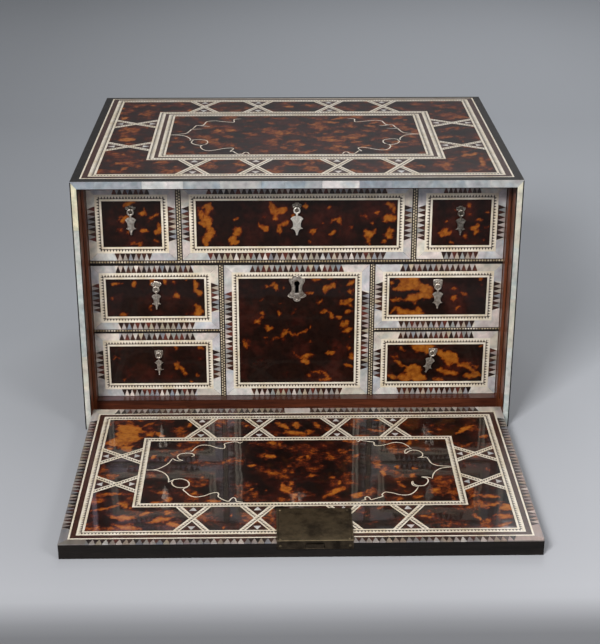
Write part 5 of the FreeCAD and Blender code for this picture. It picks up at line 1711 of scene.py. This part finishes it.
@dataclass(frozen=True)
class Fall:
    """The drop front, lying open: its pearl border, marquetry and lock."""

    half: float = 223.0
    free_edge: float = -429.0
    hinge_edge: float = -157.0
    outer_hinge_edge: float = -165.0
    top: float = 16.0
    lock: Rect = (-23.1, -429.0, 47.9, -371.0)
    key_hole: Rect = (8.0, -417.0, 17.0, -400.0)
    bolt_x: float = 12.4
    plate: float = 1.5
    bend: float = 1.2
    sunk: float = 0.35
    lip_foot: float = 8.0

    def build(self) -> None:
        """Makes both veneered faces and the lock."""
        rect = (-self.half, self.free_edge, self.half, self.hinge_edge)
        left, front, right, back = self.lock
        cut = (left + 0.2, front - 1, right - 0.2, back - 0.2)
        Marquetry("fall_inner", level(self.top), rect, FALL_LAYOUT, "fall",
                  ("fall_strapwork", "fall_panels"),
                  Clouds(FALL_CLOUDS, (1.0, 0.62), 0.33, 4.4), cell=2.2, cut=(cut,),
                  scrolls=FALL_SCROLLS, finish=FALL_SHELL).build()
        Marquetry("fall_outer", level(0.0, faces_up=False), rect[:3] + (self.outer_hinge_edge,),
                  OUTER_LAYOUT, "fall", ("fall_outer_veneer",), Clouds(seed=21.0, most=0.68),
                  cell=4.0, holes=(self.key_hole,)).build()
        self.border(rect, cut)
        self.build_lock()

    def border(self, rect: Rect, cut: Rect) -> None:
        """Lays the pearl border with its triangles round the inner face."""
        plane = level(self.top)
        pearl, chips = Veneer("fall_pearl", plane), Veneer("fall_chips", plane)
        middle = self.half
        # painted sheen: the corners near the free edge are painted darker and those near the hinge
        # lighter
        painted_sheen = (0.5, self.free_edge, 1.6, self.hinge_edge)
        PearlBorder(pearl, chips, 29, bright=0.58, painted_sheen=painted_sheen).sides(
            rect, FALL_LAYOUT.edge, (25.0, 26.0), (64, 36, 62, 36),
            ((), (), ((middle - 14, middle + 14),), ()))
        for veneer, finish, slot, hidden in ((pearl, PEARL, "mother_of_pearl", ("fall_border",)),
                                             (chips, CHIPS, "tortoiseshell", ())):
            item = veneer.made(finish)
            cut_away(item, plane, cut)
            fitted(item, "fall", slot, *hidden)

    def build_lock(self) -> None:
        """Makes the lock's plate, its pins with a raised bead, and its case."""
        left, front, right, back = self.lock
        top = self.top + self.plate
        plate = self.lock_plate(top)
        shape = bmesh.new()
        plane = level(top)
        for x in (left + 3.4, right - 3.4):
            for y in (front + 4.0, back - 3.4):
                dome_into(shape, plane, (x, y), 1.8, -0.2, 0.9)
            dome_into(shape, upright(front + self.sunk), (x, 11.8), 1.5, -0.2, self.sunk)
        # a chased line runs inside the plate's edge, as a fine raised bead
        low, high = (left + 1.9, front + 2.0), (right - 1.9, back - 1.9)
        for a, b in ((low, (high[0], low[1])), (low, (low[0], high[1])),
                     ((high[0], low[1]), high), ((low[0], high[1]), high)):
            bead_into(shape, plane, a, b, 0.34, 0.16)
        pins = finished(shape, "fall_lock_pins", BRONZE)
        shape = block((self.bolt_x, front + 1.25 + 20, 10.4), (56, 40, 10.8))
        bmesh.ops.bevel(shape, geom=shape.edges[:], offset=0.0006, segments=2, affect="EDGES",
                        profile=0.5)
        fitted(plate, "fall", "bronze", "fall_lock")
        fitted(pins, "fall", "bronze")
        fitted(finished(shape, "fall_lock_case", STEEL), "fall", "steel")

    def lock_plate(self, top: float) -> bpy.types.Object:
        """Makes the plate, a little hollow from wear, bent over the edge, with its opening."""
        left, front, right, back = self.lock
        bend, face = self.bend, front + self.sunk
        profile = [(back, top - self.plate), (back, top - 0.35), (back - 0.35, top),
                   (front + 4, top)]
        profile += [(face + bend - bend * math.sin(t), top - bend + bend * math.cos(t))
                    for t in (math.pi / 2 * k / 6 for k in range(7))]
        profile += [(face, self.lip_foot + 0.3), (face + 0.3, self.lip_foot),
                    (front + 1.2, self.lip_foot), (front + 1.2, top - self.plate)]
        shape = bmesh.new()
        steps = 36
        rows = []
        for i in range(steps + 1):
            x = left + (right - left) * i / steps
            row = []
            for y, z in profile:
                hollow = 0.10 * noise.noise(Vector((x * 0.06, y * 0.06, 3.0)))
                lower = -abs(hollow) if z > top - 0.6 and y > front + 1 else 0.0
                row.append(shape.verts.new((x * MM, y * MM, (z + lower) * MM)))
            rows.append(row)
        skin(shape, rows, flip=True)
        for row in (rows[0], rows[-1]):
            shape.faces.new(row)
        bmesh.ops.recalc_face_normals(shape, faces=shape.faces[:])
        plate = finished(shape, "fall_lock_plate", BRONZE, 30.0)
        tool = finished(block((self.bolt_x, front, 11.5), (16.6, 6.0, 4.6)), "bolt_opening",
                        BRONZE)
        cut = plate.modifiers.new("bolt opening", "BOOLEAN")
        cut.object = tool
        cut.operation = "DIFFERENCE"
        settled(plate)
        bpy.data.objects.remove(tool)
        # painted shade: the faces turned to the front take the darker bronze
        plate.data.materials.append(SHADED_BRONZE.material())
        for side in plate.data.polygons:
            side.material_index = int(side.normal.y < -0.8)
        return plate


def block(middle: Place, size: Place) -> bmesh.types.BMesh:
    """Returns a plain block, to be bevelled or to cut with, from its middle and size."""
    shape = bmesh.new()
    bmesh.ops.create_cube(shape, size=1.0, matrix=Matrix.LocRotScale(
        Vector(middle) * MM, None, Vector(size) * MM))
    return shape


def bead_into(shape: bmesh.types.BMesh, plane: Plane, start: Point, end: Point, half: float,
              rise: float) -> None:
    """Adds a low rounded bead between two places on a plane."""
    run = (Vector(end) - Vector(start)).normalized()
    off = Vector((-run.y, run.x)) * half
    skin(shape, [[shape.verts.new(plane.at(*(Vector(place) + off * math.cos(math.pi * k / 6)),
                                           rise * math.sin(math.pi * k / 6) - 0.1))
                  for k in range(7)] for place in (start, end)], closed=False, flip=True)


def settled(item: bpy.types.Object) -> None:
    """Turns an object's modifiers into its mesh."""
    view = bpy.context.evaluated_depsgraph_get()
    mesh = bpy.data.meshes.new_from_object(item.evaluated_get(view))
    item.modifiers.clear()
    item.data = mesh


# ---- studio

@dataclass(frozen=True)
class Paper(Finish):
    """The studio's seamless paper: matt, pale grey, with painted shade towards the back and at the
    near edge and painted light to the right.
    """

    name: str = "seamless paper"

    def shade(self, tree: bpy.types.NodeTree) -> bpy.types.Node:
        """Builds the shader and returns its node."""
        place = add(tree, "TexCoord").outputs["Object"]
        parts = add(tree, "SeparateXYZ", {0: place}).outputs
        far = add(tree, "MapRange", {"Value": parts["Y"], "From Min": -1.2, "From Max": 3.3})
        # painted shade: the paper is painted darker towards the back, and in a dark band across
        # the floor in front of the cabinet, the shade of the table's near edge
        tone = add(tree, "ValToRGB", {0: far}, (
            (0.0, "#a4a5a9"), (0.07, "#88898c"), (0.12, "#434346"), (0.127, "#434346"),
            (0.134, "#626366"), (0.146, "#66676a"), (0.157, "#a4a5a9"), (0.289, "#94979c"),
            (0.511, "#8a8d92"), (1.0, "#a0a3a8")))
        # painted light: the paper is painted lighter to the right than to the left
        side = add(tree, "MapRange", {"Value": parts["X"], "From Min": -0.6, "From Max": 0.6,
                                      "To Min": 0.88, "To Max": 1.24})
        tone = add(tree, "VectorMath", {0: tone, "Scale": side}, operation="SCALE")
        fibre = add(tree, "TexNoise", {"Vector": place, "Scale": 900.0, "Detail": 2.0})
        bump = add(tree, "Bump", {"Height": fibre, "Strength": 0.03, "Distance": 0.0002})
        return add(tree, "BsdfPrincipled", {"Base Color": tone, "Roughness": 0.75,
                                            "Normal": bump})


@dataclass(frozen=True)
class Studio:
    """The floor, the lights and the camera."""

    lens: float = 83.394
    eye: Place = (-20.5, -1518.6, 701.8)
    pitch: float = 23.183
    yaw: float = 0.986
    roll: float = -0.042

    def camera(self) -> None:
        """Sets the camera where the photograph was taken from."""
        pitch, yaw, roll = (math.radians(a) for a in (self.pitch, self.yaw, self.roll))
        ahead = Vector((math.sin(yaw) * math.cos(pitch), math.cos(yaw) * math.cos(pitch),
                        -math.sin(pitch)))
        right = Vector((math.cos(yaw), -math.sin(yaw), 0.0))
        down = ahead.cross(right)
        over = right * math.cos(roll) + down * math.sin(roll)
        down = down * math.cos(roll) - right * math.sin(roll)
        data = bpy.data.cameras.new("camera")
        data.lens = self.lens
        data.sensor_width = 36.0
        data.sensor_fit = "HORIZONTAL"
        data.clip_start = 0.02
        item = bpy.data.objects.new("camera", data)
        turn = Matrix((over, -down, -ahead)).transposed().to_4x4()
        item.matrix_world = Matrix.Translation(Vector(self.eye) * MM) @ turn
        bpy.context.scene.collection.objects.link(item)
        bpy.context.scene.camera = item

    def floor(self) -> None:
        """Lays the pale floor, which runs back as the backdrop."""
        shape = bmesh.new()
        skin(shape, [[shape.verts.new((x, y, z - 0.00004)) for x in (-9.0, 9.0)]
                     for y, z in ((-9.0, 0.0), (-0.9, 0.0), (0.0, 0.0), (1.2, 0.0), (2.6, 0.0),
                                  (4.0, 0.05), (4.6, 0.35), (4.9, 0.9), (5.0, 1.8),
                                  (5.0, 4.0))], closed=False)
        finished(shape, "studio_floor", Paper())

    def light(self, name: str, place: Place, aim: Place, size: Point, power: float) -> None:
        """Adds one soft lamp that faces a point."""
        data = bpy.data.lights.new(name, "AREA")
        data.shape = "RECTANGLE"
        data.size, data.size_y = size
        data.energy = power
        item = bpy.data.objects.new(name, data)
        item.location = place
        item.rotation_euler = (Vector(aim) - Vector(place)).to_track_quat("-Z", "Y").to_euler()
        bpy.context.scene.collection.objects.link(item)

    def build(self) -> None:
        """Makes the studio."""
        self.camera()
        self.floor()
        self.light("key", (-1.0, -2.2, 1.8), (0.0, -0.2, 0.12), (0.8, 0.8), 88.0)
        self.light("fill", (1.6, -2.0, 1.45), (0.0, -0.1, 0.15), (0.8, 0.8), 24.0)
        self.light("top", (0.1, 0.2, 2.1), (0.0, 0.0, 0.0), (1.6, 1.2), 6.0)
        self.light("back", (0.3, 1.9, 2.0), (0.1, 0.2, 0.1), (1.4, 1.0), 26.0)
        world = bpy.data.worlds.new("studio")
        world.use_nodes = True
        shade = world.node_tree.nodes["Background"]
        shade.inputs["Color"].default_value = linear("#c9ccd2")
        shade.inputs["Strength"].default_value = 0.22
        bpy.context.scene.world = world
        bpy.context.scene.view_settings.view_transform = "Standard"


def main() -> None:
    """Builds the cabinet's pieces and the studio."""
    logging.basicConfig(level=logging.INFO, format="%(name)s: %(message)s")
    # the wander of the clouds' edges would otherwise be seeded by the clock
    noise.seed_set(1)
    Studio().build()
    carcase = Carcase()
    carcase.boards()
    carcase.edging()
    carcase.partition_fronts()
    Marquetry("top", level(280.0), (-230.0, -171.8, 230.0, 173.0), TOP_LAYOUT, "carcase",
              ("carcase_strapwork", "carcase_panels"),
              Clouds(TOP_CLOUDS, (0.85, 0.40), 0.37, 2.2), cell=2.4,
              scrolls=mirrored(TOP_SCROLL), finish=TOP_SHELL).build()
    for name, x, seed in (("left_wall", -230.0, 12.0), ("right_wall", 230.0, 31.0)):
        Marquetry(name, wall(x), (-171.8, 0.0, 173.0, 278.8), WALL_LAYOUT, "carcase", (),
                  Clouds(seed=seed, most=0.68), cell=4.0).build()
    for maker in (*DRAWERS, *PULLS, Escutcheon(), Fall()):
        maker.build()


if __name__ == "__main__":
    main()
